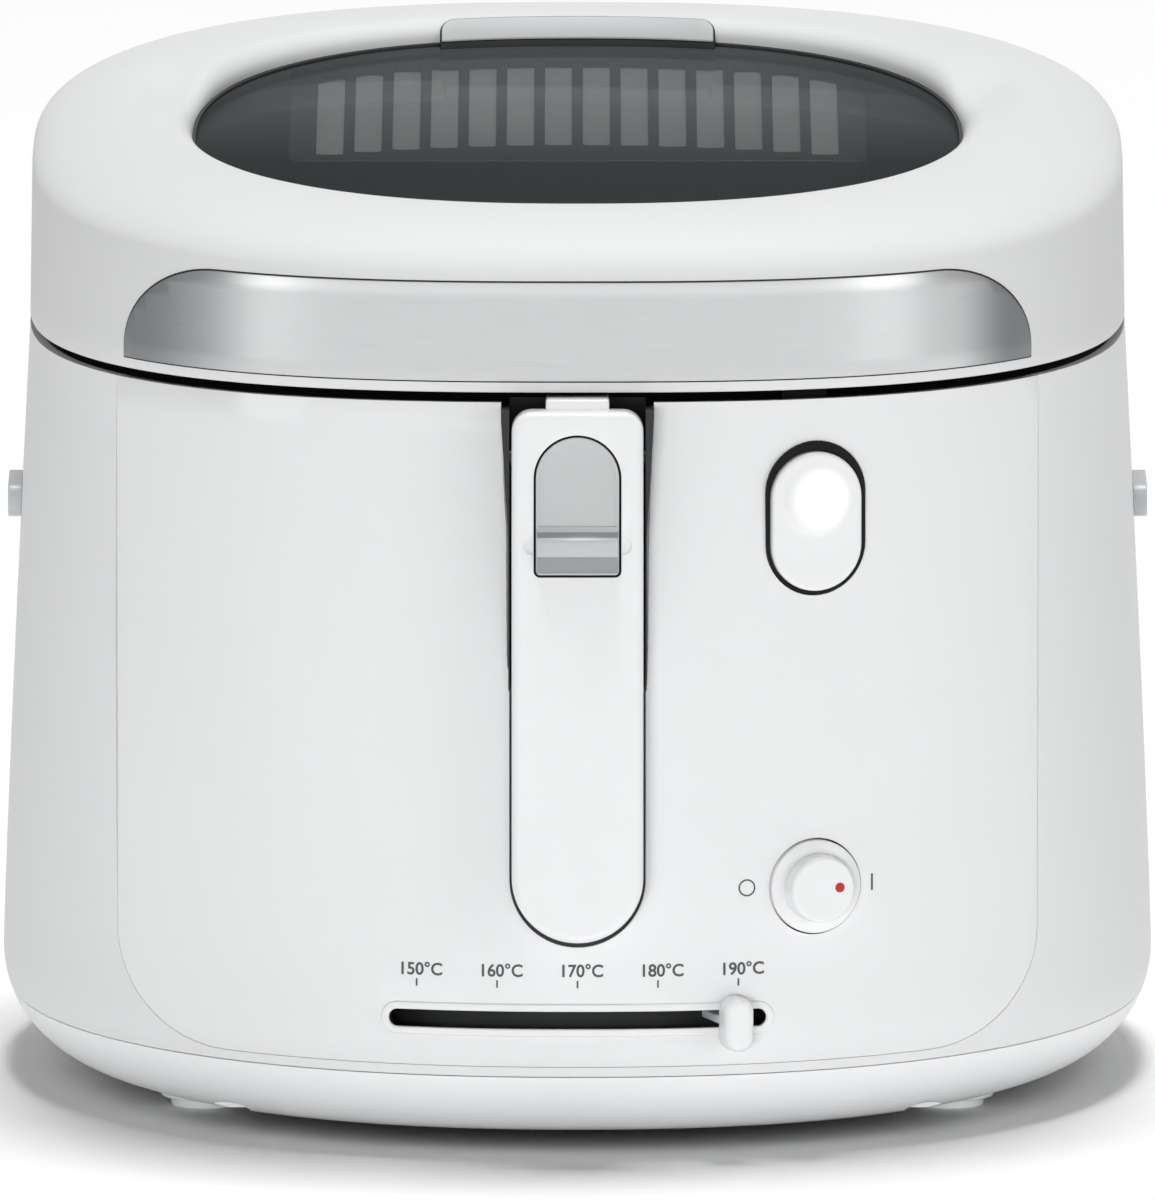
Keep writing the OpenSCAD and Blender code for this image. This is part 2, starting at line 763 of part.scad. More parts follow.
module unlock_outline(g) {
    r = unlock_w / 2 + g;
    translate([0, unlock_top - unlock_w / 2]) circle(r = r, $fn = 48);
    translate([-r, unlock_low - g]) square([2 * r, unlock_top - unlock_w / 2 - unlock_low + g]);
}

module basket_handle() {
    back = handle_t - handle_front;
    color("white") in_handle() difference() {
        union() {
            front_block(-handle_front, back) handle_outline();
            side_block(neck_w) polygon([[-2, handle_top - 2], [-2, neck_top],
                [neck_back, neck_top], [neck_back, neck_top - 4], [back, 4], [0, 4]]);
        }
        front_block(-handle_front - 5, -unlock_seat) unlock_outline(0.35);
        translate([0, 0, -20]) y_rod(-unlock_seat - 1, 1.5, 3.8);
        x_rod(-30, 30, handle_pin_r + fit);
    }
}

module unlock_button() {
    back = -unlock_seat - unlock_travel - clear;
    color("silver") in_handle() {
        front_block(-handle_front + 0.3, back) unlock_outline(0);
        front_block(-handle_front - 1.2, back) translate([-unlock_w / 2, unlock_low])
            square([unlock_w, 5.2]);
    }
}

module unlock_spring() {
    color("gray") in_handle() translate([0, 0, -20]) difference() {
        y_rod(-unlock_seat, 1.5, 3.5);
        y_rod(-unlock_seat - 1, 2, 2.7);
    }
}

// ---- release button and latch --------------------------------------------

module release_ring() {
    color("black") on_front(control_x, release_z) difference() {
        front_block(-0.3, 8) stadium(ring_w, ring_l);
        front_block(-5, 10) stadium(release_w + 0.7, release_l + 0.7);
    }
}

button_back = 9;
guide_y = 23;

module release_button() {
    color("white") on_front(control_x, release_z) front_block(-1.8, button_back)
        stadium(release_w, release_l);
}

module latch_hook() {
    y1 = 18;
    color("silver") on_front(control_x, release_z) difference() {
        union() {
            translate([-4, button_back, 6]) cube([8, y1 - button_back, 6]);
            translate([-4, 15.4, 6]) cube([8, y1 - 15.4, catch_low + 1.5]);
            translate([-3.5, 12.5 + clear, catch_low + 3.5]) cube([7, 4, 3.5]);
        }
    }
}

module release_guide() {
    x = ring_w / 2;
    color("gray") on_front(control_x, release_z) {
        translate([-x - 2, guide_y, -9]) cube([2 * x + 4, 2, 12]);
        for (s = [-1, 1]) translate([s * (x + 1) - 1, 6, -6]) cube([2, guide_y - 5, 9]);
    }
}

module release_spring() {
    color("silver") on_front(control_x, release_z) translate([0, 0, -4]) difference() {
        y_rod(button_back + release_travel + clear, guide_y, 4);
        y_rod(button_back, guide_y + 1, 3.2);
    }
}

// ---- power knob -----------------------------------------------------------

module knob_ring() {
    color("whitesmoke") on_front(control_x, knob_z) difference() {
        y_rod(-1.6, 4, knob_ring_r);
        y_rod(-3, 6, 3 + fit);
    }
}

module power_knob() {
    color("white") on_front(control_x, knob_z) {
        y_rod(-7.5, -1.6 - clear, knob_r);
        y_rod(-3, 31.5, 3);
    }
}

// ---- temperature lever ----------------------------------------------------

module slot_frame() {
    color("whitesmoke") difference() {
        intersection() {
            body_wall();
            slot_cut(slot_h + 4);
        }
        slot_cut(slot_h);
    }
}

module in_lever() {
    translate([0, lever_y, slot_z]) rotate([0, 0, lever_rest]) children();
}

module temperature_lever() {
    color("gray") in_lever() {
        translate([-lever_w / 2, 4 - lever_r, -lever_t / 2]) cube([lever_w, lever_r - 4, lever_t]);
        translate([0, 0, -3]) cylinder(h = 6, r = 7, $fn = 48);
        cylinder(h = 15, r = 3, $fn = 48);
    }
}

module lever_knob() {
    color("white") in_lever() front_block(-lever_r - tip_d + 4, -lever_r + 4)
        stadium(tip_w, tip_h);
}

// ---- output ---------------------------------------------------------------

outer_housing();
front_facade();
base_skirt();
bottom_plate();
feet();
base_screws();
handle_channel();
rim_collar();
oil_bowl();
bowl_posts();
heating_element();
thermal_fuse();
thermostat();
power_switch();
switch_bracket();
terminal_block();
cord_gland();
side_grips();
hinge_bracket();
hinge_pin();
handle_pin();
release_ring();
release_guide();
release_spring();
knob_ring();
slot_frame();
lid_shell();
lid_inner_panel();
lid_gasket();
window_glass();
window_gasket();
trim_band();
window_plaque();
filter_cover();
filter_cartridge();
lid_hinge_arms();
lid_catch();
lid_screws();
basket_mesh();
basket_rim();
basket_bracket();
basket_handle();
unlock_button();
unlock_spring();
release_button();
latch_hook();
power_knob();
temperature_lever();
lever_knob();
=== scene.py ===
# %% [markdown]
# # A household deep fryer, finished round its CAD frame
# The frame holds every piece of the fryer at its real size and place, with its joints. This
# script gives the pieces their looks. The big moulded shells are modelled again with fine curves,
# because a glossy shell shows every flat; small machined pieces keep their CAD mesh and get a
# finish. Everything is in metres. Shapes are worked out in millimetres, as on a drawing, and the
# helper functions turn them to metres when they build a mesh.

# %% Load the frame
import math

import bpy
from mathutils import Matrix, Vector


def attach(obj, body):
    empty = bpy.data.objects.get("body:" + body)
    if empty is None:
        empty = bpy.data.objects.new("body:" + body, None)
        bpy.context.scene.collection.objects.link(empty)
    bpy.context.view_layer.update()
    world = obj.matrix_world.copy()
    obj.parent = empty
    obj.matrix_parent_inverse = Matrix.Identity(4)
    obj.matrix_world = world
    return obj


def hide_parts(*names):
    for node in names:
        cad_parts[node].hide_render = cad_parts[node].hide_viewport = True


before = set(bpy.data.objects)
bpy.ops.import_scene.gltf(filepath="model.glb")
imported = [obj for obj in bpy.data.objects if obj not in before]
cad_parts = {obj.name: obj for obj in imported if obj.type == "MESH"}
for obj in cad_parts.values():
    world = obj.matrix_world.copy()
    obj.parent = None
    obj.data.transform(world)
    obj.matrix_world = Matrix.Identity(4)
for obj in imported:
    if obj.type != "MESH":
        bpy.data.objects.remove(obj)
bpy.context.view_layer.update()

MM = 0.001
bpy.ops.object.select_all(action="DESELECT")

# %% [markdown]
# ## The camera
# A long lens from far away keeps upright edges upright, as in catalogue pictures. The camera
# looks down by about nine degrees, enough to see the window in the lid. It is aimed a little
# below the middle of the fryer's height, so the lens needs no shift.

# %% Camera
LOOK_DOWN = math.radians(8.93)
CAMERA_DISTANCE = 9.0
AIM_HEIGHT = 121.0 * MM
LENS = 1067.0                  # for a sensor 36 mm wide

bpy.ops.object.camera_add(rotation=(math.pi / 2 - LOOK_DOWN, 0, 0))
camera = bpy.context.object
camera.name = "camera"
camera.location = (0, -CAMERA_DISTANCE * math.cos(LOOK_DOWN),
                   AIM_HEIGHT + CAMERA_DISTANCE * math.sin(LOOK_DOWN))
camera.data.sensor_fit = "HORIZONTAL"
camera.data.sensor_width = 36
camera.data.lens = LENS
camera.data.clip_end = 50
bpy.context.scene.camera = camera
print("camera at", [round(c, 3) for c in camera.location])

# %% [markdown]
# ## The body's outline as a formula
# Seen from above the fryer is a superellipse: an oval with fuller corners. Its half width, half
# depth and roundness change with height, so one formula gives any point of the outside. All
# shells and everything that lies on the front use it, which is why they fit each other without
# any fitting.

# %% Outline of the body
BODY_A, BODY_B = 151.0, 166.0          # half width and half depth at the widest place
FLARE = 7.5                            # how much narrower the rim is
RIM_Z, BULGE_Z, SEAM_Z = 197.5, 31.0, 22.0
UNDER_R = 27.0                         # radius of the rounding under the bulge
SEAM_N, RIM_N = 2.2, 2.67              # roundness at the seam and at the rim
WALL = 2.6
FOOT_H = 5.0


def signed_power(value, power):
    return math.copysign(abs(value) ** power, value)


def body_in(z):
    """How far the body stands inside its widest outline at height z."""
    if z >= BULGE_Z:
        return FLARE * ((z - BULGE_Z) / (RIM_Z - BULGE_Z)) ** 1.15
    return UNDER_R - math.sqrt(UNDER_R ** 2 - (BULGE_Z - z) ** 2)


def body_n(z):
    return SEAM_N + (RIM_N - SEAM_N) * max(0.0, z - SEAM_Z) / (RIM_Z - SEAM_Z)


def oval_point(a, b, n, turn):
    """The point of a superellipse at a turn in degrees, 0 at +X and 90 at the back."""
    t = math.radians(turn)
    return a * signed_power(math.cos(t), 2 / n), b * signed_power(math.sin(t), 2 / n)


def body_point(turn, z):
    x, y = oval_point(BODY_A - body_in(z), BODY_B - body_in(z), body_n(z), turn)
    return Vector((x, y, z))


def body_turn(x, z):
    """The turn at which the front of the body passes x."""
    share = min(1.0, abs(x) / (BODY_A - body_in(z))) ** (body_n(z) / 2)
    return 270 + math.copysign(90 - math.degrees(math.acos(share)), x)


def front_point(x, z):
    return body_point(body_turn(x, z), z)


def outward(surface, u, v, step=0.05):
    """The outward normal of surface(u, v), from its slopes both ways."""
    along = surface(u + step, v) - surface(u - step, v)
    up = surface(u, v + step) - surface(u, v - step)
    return along.cross(up).normalized()


print("front of the body at the rim:", [round(c, 1) for c in front_point(0, RIM_Z)])

# %% [markdown]
# ## Small tools for modelling
# A piece starts as one of Blender's primitives. The helpers here do what a hand does with it:
# select it, run operators on it in edit mode, and add a modifier and apply it.


# %% Selecting, editing and modifiers
def only(piece):
    bpy.ops.object.select_all(action="DESELECT")
    piece.select_set(True)
    bpy.context.view_layer.objects.active = piece


def apply_modifier(piece, kind, **settings):
    only(piece)
    modifier = piece.modifiers.new(kind.lower(), kind)
    for key, value in settings.items():
        setattr(modifier, key, value)
    bpy.ops.object.modifier_apply(modifier=modifier.name)


def bevel(piece, width, segments=3, angle=35):
    apply_modifier(piece, "BEVEL", width=width * MM, segments=segments, limit_method="ANGLE",
                   angle_limit=math.radians(angle), use_clamp_overlap=True)


def in_edit(piece, *steps):
    """Runs edit-mode operators, each given as (operator, settings), on the whole piece."""
    only(piece)
    bpy.ops.object.mode_set(mode="EDIT")
    bpy.ops.mesh.select_all(action="SELECT")
    for operator, settings in steps:
        operator(**settings)
    bpy.ops.object.mode_set(mode="OBJECT")


def tidy(piece, gap=0.004):
    """Merges doubles and turns every face outwards."""
    in_edit(piece, (bpy.ops.mesh.remove_doubles, {"threshold": gap * MM}),
            (bpy.ops.mesh.normals_make_consistent, {"inside": False}))


# %% [markdown]
# Most parts of the fryer are sheets or blocks with a curved outline. A circle is given that
# outline and extruded to a slab, and slabs that are cut out of it make its holes. To lie on the
# curved body it is first sliced, because a face can only bend where it has points, and then its
# points are moved.


# %% Slabs, cuts and bends
def slab(name, outline, near, far):
    """A flat slab. The outline is in X and Z, near and far are its two faces along Y, all in mm."""
    bpy.ops.mesh.primitive_circle_add(vertices=len(outline), fill_type="NGON")
    piece = bpy.context.object
    piece.name = name
    for vertex, (x, z) in zip(piece.data.vertices, outline):
        vertex.co = (x * MM, near * MM, z * MM)
    in_edit(piece, (bpy.ops.mesh.extrude_region_move,
                    {"TRANSFORM_OT_translate": {"value": (0, (far - near) * MM, 0)}}),
            (bpy.ops.mesh.select_all, {"action": "SELECT"}),
            (bpy.ops.mesh.normals_make_consistent, {"inside": False}))
    return piece


def cut(piece, tool, operation="DIFFERENCE"):
    """Cuts a piece with a tool, which is then deleted."""
    apply_modifier(piece, "BOOLEAN", object=tool, operation=operation, solver="EXACT")
    bpy.data.objects.remove(tool)


def punch(piece, outline, near=-5, far=8):
    """Cuts a hole with this outline. The depths of a whole panel are the usual ones."""
    cut(piece, slab("tool", outline, near, far))


def steps_between(low, high, step):
    count = max(1, round((high - low) / step))
    return [low + (high - low) * i / count for i in range(count + 1)]


def slice_up(piece, axis, places):
    """Slices a piece across an axis, so that its faces can bend there."""
    normal = [1.0 if i == axis else 0.0 for i in range(3)]
    steps = []
    for place in places:
        point = [place * MM if i == axis else 0.0 for i in range(3)]
        steps.append((bpy.ops.mesh.select_all, {"action": "SELECT"}))
        steps.append((bpy.ops.mesh.bisect, {"plane_co": point, "plane_no": normal}))
    in_edit(piece, *steps)


def slice_between(piece, axis, low, high, step):
    """Slices a piece evenly between two places, but not at them."""
    slice_up(piece, axis, steps_between(low, high, step)[1:-1])


def reshape(piece, place):
    """Moves every point of a piece to place(x, y, z), in mm."""
    for vertex in piece.data.vertices:
        vertex.co = [c * MM for c in place(*(c / MM for c in vertex.co))]
    piece.data.update()


def bend(piece, surface):
    """Lays a flat piece on a surface: X and Z become places on it, Y the depth under it."""
    reshape(piece, lambda x, depth, z: surface(x, z) - outward(surface, x, z) * depth)


# %% [markdown]
# Outlines are lists of points, put together from arcs. Going round one way, each arc ends where
# the next begins.


# %% Outlines
def arc(cx, cz, radius, start, end, count=12):
    """Points of an arc from one angle to another, in degrees."""
    turns = [math.radians(start + (end - start) * i / count) for i in range(count + 1)]
    return [(cx + radius * math.cos(t), cz + radius * math.sin(t)) for t in turns]


def circle(radius, count):
    return arc(0, 0, radius, 0, 360, count)[:-1]


def stadium(width, height, count=24):
    """An upright outline with round ends."""
    r = width / 2
    lift = height / 2 - r
    return arc(0, lift, r, 0, 180, count) + arc(0, -lift, r, 180, 360, count)


def round_box(width, height, radius, cx=0.0, cz=0.0, count=6):
    x, z = width / 2 - radius, height / 2 - radius
    corners = ((x, z, 0), (-x, z, 90), (-x, -z, 180), (x, -z, 270))
    return [p for dx, dz, a in corners for p in arc(cx + dx, cz + dz, radius, a, a + 90, count)]


def turned(outline):
    """An upright outline laid on its side."""
    return [(-z, x) for x, z in outline]


def at(outline, x, z):
    return [(px + x, pz + z) for px, pz in outline]


# %% [markdown]
# Shells that close round the fryer, such as the lid and the skirt, can't be bent from a flat
# sheet without a seam. They start as a grid whose rows become the rings of the shell.


# %% Shells
def loft(name, rings, closed=True, around=240):
    """A shell through rings of (half width, half depth, roundness, height, slope), and where the
    ring's middle isn't over the origin, its shift along Y. Closed joins the last ring to the first;
    an open one gets a flat cap at both ends."""
    rows = len(rings) if closed else len(rings) - 1
    bpy.ops.mesh.primitive_grid_add(x_subdivisions=around, y_subdivisions=rows, size=1)
    piece = bpy.context.object
    piece.name = name
    for vertex in piece.data.vertices:
        row = round((vertex.co.y + 0.5) * rows) % len(rings)
        a, b, n, z, slope, *shift = rings[row]
        x, y = oval_point(a, b, n, 360 * (vertex.co.x + 0.5))
        y += sum(shift)
        vertex.co = Vector((x, y, z + slope * y)) * MM
    in_edit(piece, (bpy.ops.mesh.remove_doubles, {"threshold": 0.002 * MM}))
    if not closed:
        in_edit(piece, (bpy.ops.mesh.fill_holes, {"sides": 0}))
    tidy(piece)
    return piece


# %% [markdown]
# The last step is the same for every piece: its faces are shaded smooth up to an angle, it gets
# its material, and the frame is told which body it rides on and which CAD nodes it stands for.


# %% Finishing a piece
def finish_piece(piece, body, material, replaces=(), angle=35):
    only(piece)
    bpy.ops.object.shade_smooth_by_angle(angle=math.radians(angle))
    piece.data.materials.clear()
    piece.data.materials.append(material)
    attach(piece, body)
    if replaces:
        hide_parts(*replaces)
    print(f"{piece.name}: {len(piece.data.polygons)} faces on {body}")


# %% [markdown]
# ## Floor and light
# The fryer stands on a plain pale floor under soft light. A white object on a white floor is
# drawn by small differences, so the light isn't the same from everywhere. Soft boxes stand in
# front, overhead and at the right. Wide dim cards that show in reflections alone give steel and
# glossy plastic an even sheen. The sky is bright behind and dark overhead, which keeps the smoked
# window dark.

# %% Floor and lights
FLOOR_SIZE = 14.0

bpy.ops.mesh.primitive_plane_add(size=FLOOR_SIZE)
floor = bpy.context.object
floor.name = "floor"


def area_light(name, place, aim, size, power, height=None):
    """A soft box at place that shines at aim, both in metres."""
    bpy.ops.object.light_add(type="AREA", location=place)
    light = bpy.context.object
    light.name = name
    light.rotation_euler = (Vector(aim) - Vector(place)).to_track_quat("-Z", "Y").to_euler()
    light.data.shape = "RECTANGLE"
    light.data.size = size
    light.data.size_y = height or size
    light.data.energy = power
    return light


MIDDLE = (0, 0, 0.12)
front_box = area_light("front_box", (-0.8, -6.5, 0.42), MIDDLE, 2.6, 200, height=0.8)
area_light("top_box", (0.2, 0.6, 6.2), MIDDLE, 1.8, 325)
right_box = area_light("right_box", (5.0, -3.6, 1.2), MIDDLE, 2.0, 48)
# These two would show as hard bars in the polished parts, so they are kept out of reflections. They
# light the fryer but not the floor, so the shadow at the foot stays deep.
floor_alone = bpy.data.collections.new("floor_alone")
floor_alone.objects.link(floor)
floor_alone.collection_objects[0].light_linking.link_state = "EXCLUDE"
for box in (front_box, right_box):
    box.visible_glossy = False
    box.light_linking.receiver_collection = floor_alone
# The cards are a little brighter towards the two ends of the steel band
for name, place, width, power in (("sheen_card", (0, -5.5, 1.2), 9.0, 78),
                                  ("left_card", (-4.9, -4.0, 1.1), 2.2, 30),
                                  ("right_card", (4.9, -4.0, 1.1), 2.2, 34)):
    card = area_light(name, place, MIDDLE, width, power, height=2.4)
    card.visible_diffuse = False
# The floor behind the fryer is lit from above, so that it is as white as the floor in front
area_light("floor_wash", (0, 2.9, 3.0), (0, 3.1, 0), 2.2, 11)
print(len(bpy.data.lights), "lights")

# %% [markdown]
# ## Materials
# Each material starts from what the real one is. Most of the fryer is moulded plastic: the shells
# have the fine, soft grain of a spark-eroded mould, the front panel and the buttons a polished
# one. Colours are given as sRGB hex values, as a paint card gives them, and one function turns
# them into the linear values that the renderer works with.


# %% Material helpers
def linear(hex_colour):
    parts = [int(hex_colour[i:i + 2], 16) / 255 for i in (1, 3, 5)]
    return [c / 12.92 if c <= 0.04045 else ((c + 0.055) / 1.055) ** 2.4 for c in parts] + [1.0]


def node(tree, kind, inputs=None, **settings):
    """Adds one node. An input is a value, or another node's socket to link to."""
    new = tree.nodes.new(kind)
    for key, value in settings.items():
        setattr(new, key, value)
    for key, value in (inputs or {}).items():
        if isinstance(value, bpy.types.NodeSocket):
            tree.links.new(value, new.inputs[key])
        else:
            new.inputs[key].default_value = value
    return new


def start_material(name):
    """A new material, its node tree, and the place on the object that its patterns read."""
    material = bpy.data.materials.new(name)
    material.use_nodes = True
    tree = material.node_tree
    tree.nodes.clear()
    return material, tree, node(tree, "ShaderNodeTexCoord").outputs["Object"]


def end_material(tree, shader):
    node(tree, "ShaderNodeOutputMaterial", {"Surface": shader.outputs["BSDF"]})


def moulded(name, colour, roughness, grain=0.5, depth=0.02, shade=0.03, coat=0.0, ior=1.53,
            gloss=0.5):
    """Moulded plastic or rubber. grain is the size of the mould's texture in mm, depth its depth in
    mm, and shade how much the colour drifts over the part, as pigment and flow lines do."""
    material, tree, where = start_material(name)
    drift = node(tree, "ShaderNodeTexNoise", {"Vector": where, "Scale": 18.0, "Detail": 2.0})
    darker = [c * (1 - shade) for c in linear(colour)[:3]] + [1.0]
    tint = node(tree, "ShaderNodeMix", {"Factor": drift.outputs["Fac"], "A": darker,
                                        "B": linear(colour)}, data_type="RGBA")
    texture = node(tree, "ShaderNodeTexNoise", {"Vector": where, "Scale": 1000 / grain,
                                                "Detail": 3.0})
    bump = node(tree, "ShaderNodeBump", {"Height": texture.outputs["Fac"], "Strength": 0.25,
                                         "Distance": depth * MM})
    rough = node(tree, "ShaderNodeMapRange", {"Value": drift.outputs["Fac"],
                                              "To Min": roughness * 0.92,
                                              "To Max": roughness * 1.08})
    shader = node(tree, "ShaderNodeBsdfPrincipled",
                  {"Base Color": tint.outputs["Result"], "Roughness": rough.outputs["Result"],
                   "Normal": bump.outputs["Normal"], "IOR": ior, "Coat Weight": coat,
                   "Coat Roughness": 0.05, "Specular IOR Level": gloss})
    end_material(tree, shader)
    return material


def metal(name, colour, roughness, stretch, grain=0.35, depth=0.004, ends=()):
    """Bare metal with a drawn or brushed surface: the grain is stretched along one axis. ends gives
    the stretches of X, in metres, over which the metal goes from a painted dark tone to its full
    one: painted shade in place of the dimmer reflections there."""
    material, tree, where = start_material(name)
    along = node(tree, "ShaderNodeMapping", {"Vector": where, "Scale": stretch})
    lines = node(tree, "ShaderNodeTexNoise", {"Vector": along.outputs["Vector"],
                                              "Scale": 1000 / grain, "Detail": 4.0})
    tint = node(tree, "ShaderNodeMix", {"Factor": lines.outputs["Fac"],
                                        "A": [c * 0.9 for c in linear(colour)[:3]] + [1.0],
                                        "B": linear(colour)}, data_type="RGBA")
    # Towards the ends the colour goes over to a darker grey: painted shade for dim reflections
    for dark, full in ends:
        place = node(tree, "ShaderNodeSeparateXYZ", {"Vector": where}).outputs["X"]
        share = node(tree, "ShaderNodeMapRange", {"Value": place, "From Min": dark,
                                                  "From Max": full},
                     interpolation_type="SMOOTHSTEP")
        tint = node(tree, "ShaderNodeMix", {"Factor": share.outputs["Result"],
                                            "A": linear("#85878A"), "B": tint.outputs["Result"]},
                    data_type="RGBA")
    rough = node(tree, "ShaderNodeMapRange", {"Value": lines.outputs["Fac"],
                                              "To Min": roughness * 0.8,
                                              "To Max": roughness * 1.2})
    bump = node(tree, "ShaderNodeBump", {"Height": lines.outputs["Fac"], "Strength": 0.3,
                                         "Distance": depth * MM})
    shader = node(tree, "ShaderNodeBsdfPrincipled",
                  {"Base Color": tint.outputs["Result"], "Metallic": 1.0,
                   "Roughness": rough.outputs["Result"], "Normal": bump.outputs["Normal"]})
    end_material(tree, shader)
    return material


# %% [markdown]
# ### The plastics, metals, glass and rubber of this fryer
# White ABS has a satin grain on the housing, the lid and the skirt. The lid's white is a little
# darker than the housing's, as painted shade, and the skirt's a little brighter, as painted light.
# It is polished on the front panel and half polished on the parts that fingers touch. The
# differences are small.

# %% Materials
# White ABS from a finely eroded mould: broad, soft highlights
white_housing = moulded("ABS_satin_white", "#E4E5E6", 0.55, gloss=0.28)
# The lid's white is a little darker than the housing's, as painted shade; the skirt's is a little
# brighter, as painted light
lid_white_painted_shade = moulded("ABS_satin_white_lid_painted_shade", "#DCDDDD", 0.58, gloss=0.2)
skirt_white_painted_light = moulded("ABS_satin_white_base_painted_light", "#F0F1F2", 0.55, gloss=0.28)
# White ABS from a polished mould: a clear, narrow reflection over the same body colour
white_gloss = moulded("ABS_polished_white", "#E6E7E8", 0.16, grain=1.6, depth=0.006, coat=0.35)
# White ABS, half polished: handle, buttons and knobs
white_satin = moulded("ABS_half_polished_white", "#E9EAEB", 0.24, grain=0.8, depth=0.01)
# Black glass-filled nylon that stands the heat at the rim
dark_plastic = moulded("nylon_black", "#1E2124", 0.42, grain=0.4, depth=0.03, shade=0.12)
# The same nylon with a matt face: the release ring's own black, and the painted shade of the
# rings and beds that show as dark gaps
black_and_gap_shade = moulded("nylon_satin_black_and_gap_shade", "#0E1011", 0.55, grain=0.4, gloss=0.2)
# Mid grey polypropylene of the inner parts
grey_plastic = moulded("polypropylene_grey", "#8B8F92", 0.4, depth=0.03, shade=0.06)
# Pale grey polypropylene of the side grips
pale_grey = moulded("polypropylene_pale_grey", "#B9BCBE", 0.35, shade=0.05)
# Light grey ABS of the button in the handle
button_grey = moulded("ABS_light_grey", "#BFC1C2", 0.3, grain=0.6, depth=0.012)
# The same grey made darker, as painted shade, for the slopes under and over its ledge
button_painted_shade = moulded("ABS_light_grey_painted_shade", "#8E9193", 0.3, grain=0.6, depth=0.012)
# Silver lacquered plastic: the flakes are too fine to show, so it is drawn as a plain light grey
silver_plastic = moulded("ABS_silver_lacquer", "#B8BABC", 0.45, grain=0.3, depth=0.01, gloss=0.2)
# Non-stick coating on aluminium: dark, a little speckled, waxy
nonstick = moulded("PTFE_coating_dark", "#2C2E31", 0.38, grain=1.2, depth=0.03, shade=0.25)
# Silicone rubber of the seals
seal_rubber = moulded("silicone_black", "#1D1F20", 0.55, grain=0.6, shade=0.1)
# Grey thermoplastic rubber of the feet
foot_rubber = moulded("TPE_pale_grey", "#E2E4E4", 0.6, grain=0.6, depth=0.03, shade=0.06)
# Steatite ceramic of the electrical parts
ceramic = moulded("steatite_ceramic", "#D8CDB4", 0.45, grain=0.7, shade=0.08, ior=1.6)
# Pressed fibre mat of the filter: a coarse grain that shows through the vent slots
filter_mat = moulded("fibre_mat_grey", "#F0F8F4", 0.85, grain=2.2, depth=0.5, shade=0.3)
# Printing ink of the marks
ink_grey = moulded("pad_print_ink_grey", "#4A4D50", 0.5, depth=0.002, shade=0.05)
ink_red = moulded("pad_print_ink_red", "#B5161B", 0.4, depth=0.002, shade=0.05)
# Stainless steel wire and sheet
steel = metal("stainless_steel_drawn", "#B8B9BA", 0.24, (0.3, 0.3, 1.0))
# Phosphated steel of the catch: nearly black, with a dull sheen
dark_steel = metal("steel_phosphated", "#2A2B2D", 0.5, (0.3, 0.3, 1.0))
# Brushed stainless sheet: the grit runs along the band, so reflections spread up and down. Its
# two ends are painted darker, painted shade in place of the dim reflections there
trim_steel = metal("stainless_steel_brushed", "#DCDDDE", 0.3, (0.02, 0.02, 1.0), grain=0.25,
                   ends=((-0.116, -0.078), (0.113, 0.096)))


def smoked(name, colour, back_painted_light_colour, see_through):
    """Smoked glass: a clear polished surface over a grey that lets some light through. Its grey is
    painted lighter towards the back of the pane: painted light that lifts the shade there."""
    material, tree, where = start_material(name)
    back = node(tree, "ShaderNodeSeparateXYZ", {"Vector": where}).outputs["Y"]
    share = node(tree, "ShaderNodeMapRange", {"Value": back, "From Min": -0.03, "From Max": 0.105})
    tint = node(tree, "ShaderNodeMix", {"Factor": share.outputs["Result"], "A": linear(colour),
                                        "B": linear(back_painted_light_colour)}, data_type="RGBA")
    film = node(tree, "ShaderNodeTexNoise", {"Vector": where, "Scale": 25.0, "Detail": 2.0})
    rough = node(tree, "ShaderNodeMapRange", {"Value": film.outputs["Fac"], "To Min": 0.03,
                                              "To Max": 0.07})
    shader = node(tree, "ShaderNodeBsdfPrincipled",
                  {"Base Color": tint.outputs["Result"], "Roughness": rough.outputs["Result"],
                   "IOR": 1.5, "Specular IOR Level": 0.004, "Alpha": see_through})
    end_material(tree, shader)
    return material


# Toughened glass, smoked grey: what lies under it shows at about half strength. Towards the
# back its grey is painted lighter, as painted light
smoked_glass = smoked("toughened_glass_smoked", "#3C4042", "#6F7375", 0.42)
print(len(bpy.data.materials), "materials")

# %% [markdown]
# ### Floor and sky
# The floor is a board painted white, so large that its edge is never seen. The sky could be a
# picture of a studio, but a few nodes are enough here: it is plain white, and only its strength
# changes with the direction. It is dim in front, where the soft boxes shine, and bright behind
# the fryer.

# %% Floor and sky finish
floor.data.materials.append(moulded("painted_board_white", "#FDFDFD", 0.9, grain=3.0,
                                    shade=0.005))

world = bpy.data.worlds.new("studio_sky")
bpy.context.scene.world = world
world.use_nodes = True
sky = world.node_tree
sky.nodes.clear()
direction = node(sky, "ShaderNodeSeparateXYZ",
                 {"Vector": node(sky, "ShaderNodeTexCoord").outputs["Generated"]})
# Along the horizon it is dim in front and bright behind
horizon = node(sky, "ShaderNodeMapRange", {"Value": direction.outputs["Y"], "From Min": -0.85,
                                           "From Max": 0.05, "To Min": 0.06, "To Max": 0.59})
# It darkens overhead, where the top box shines
height = node(sky, "ShaderNodeMapRange", {"Value": direction.outputs["Z"], "From Min": 0.4,
                                          "From Max": 0.9})
level = node(sky, "ShaderNodeMix", {"Factor": height.outputs["Result"],
                                    "A": horizon.outputs["Result"], "B": 0.0},
             data_type="FLOAT")
backdrop = node(sky, "ShaderNodeBackground", {"Color": (1, 1, 1, 1),
                                              "Strength": level.outputs["Result"]})
node(sky, "ShaderNodeOutputWorld", {"Surface": backdrop.outputs["Background"]})

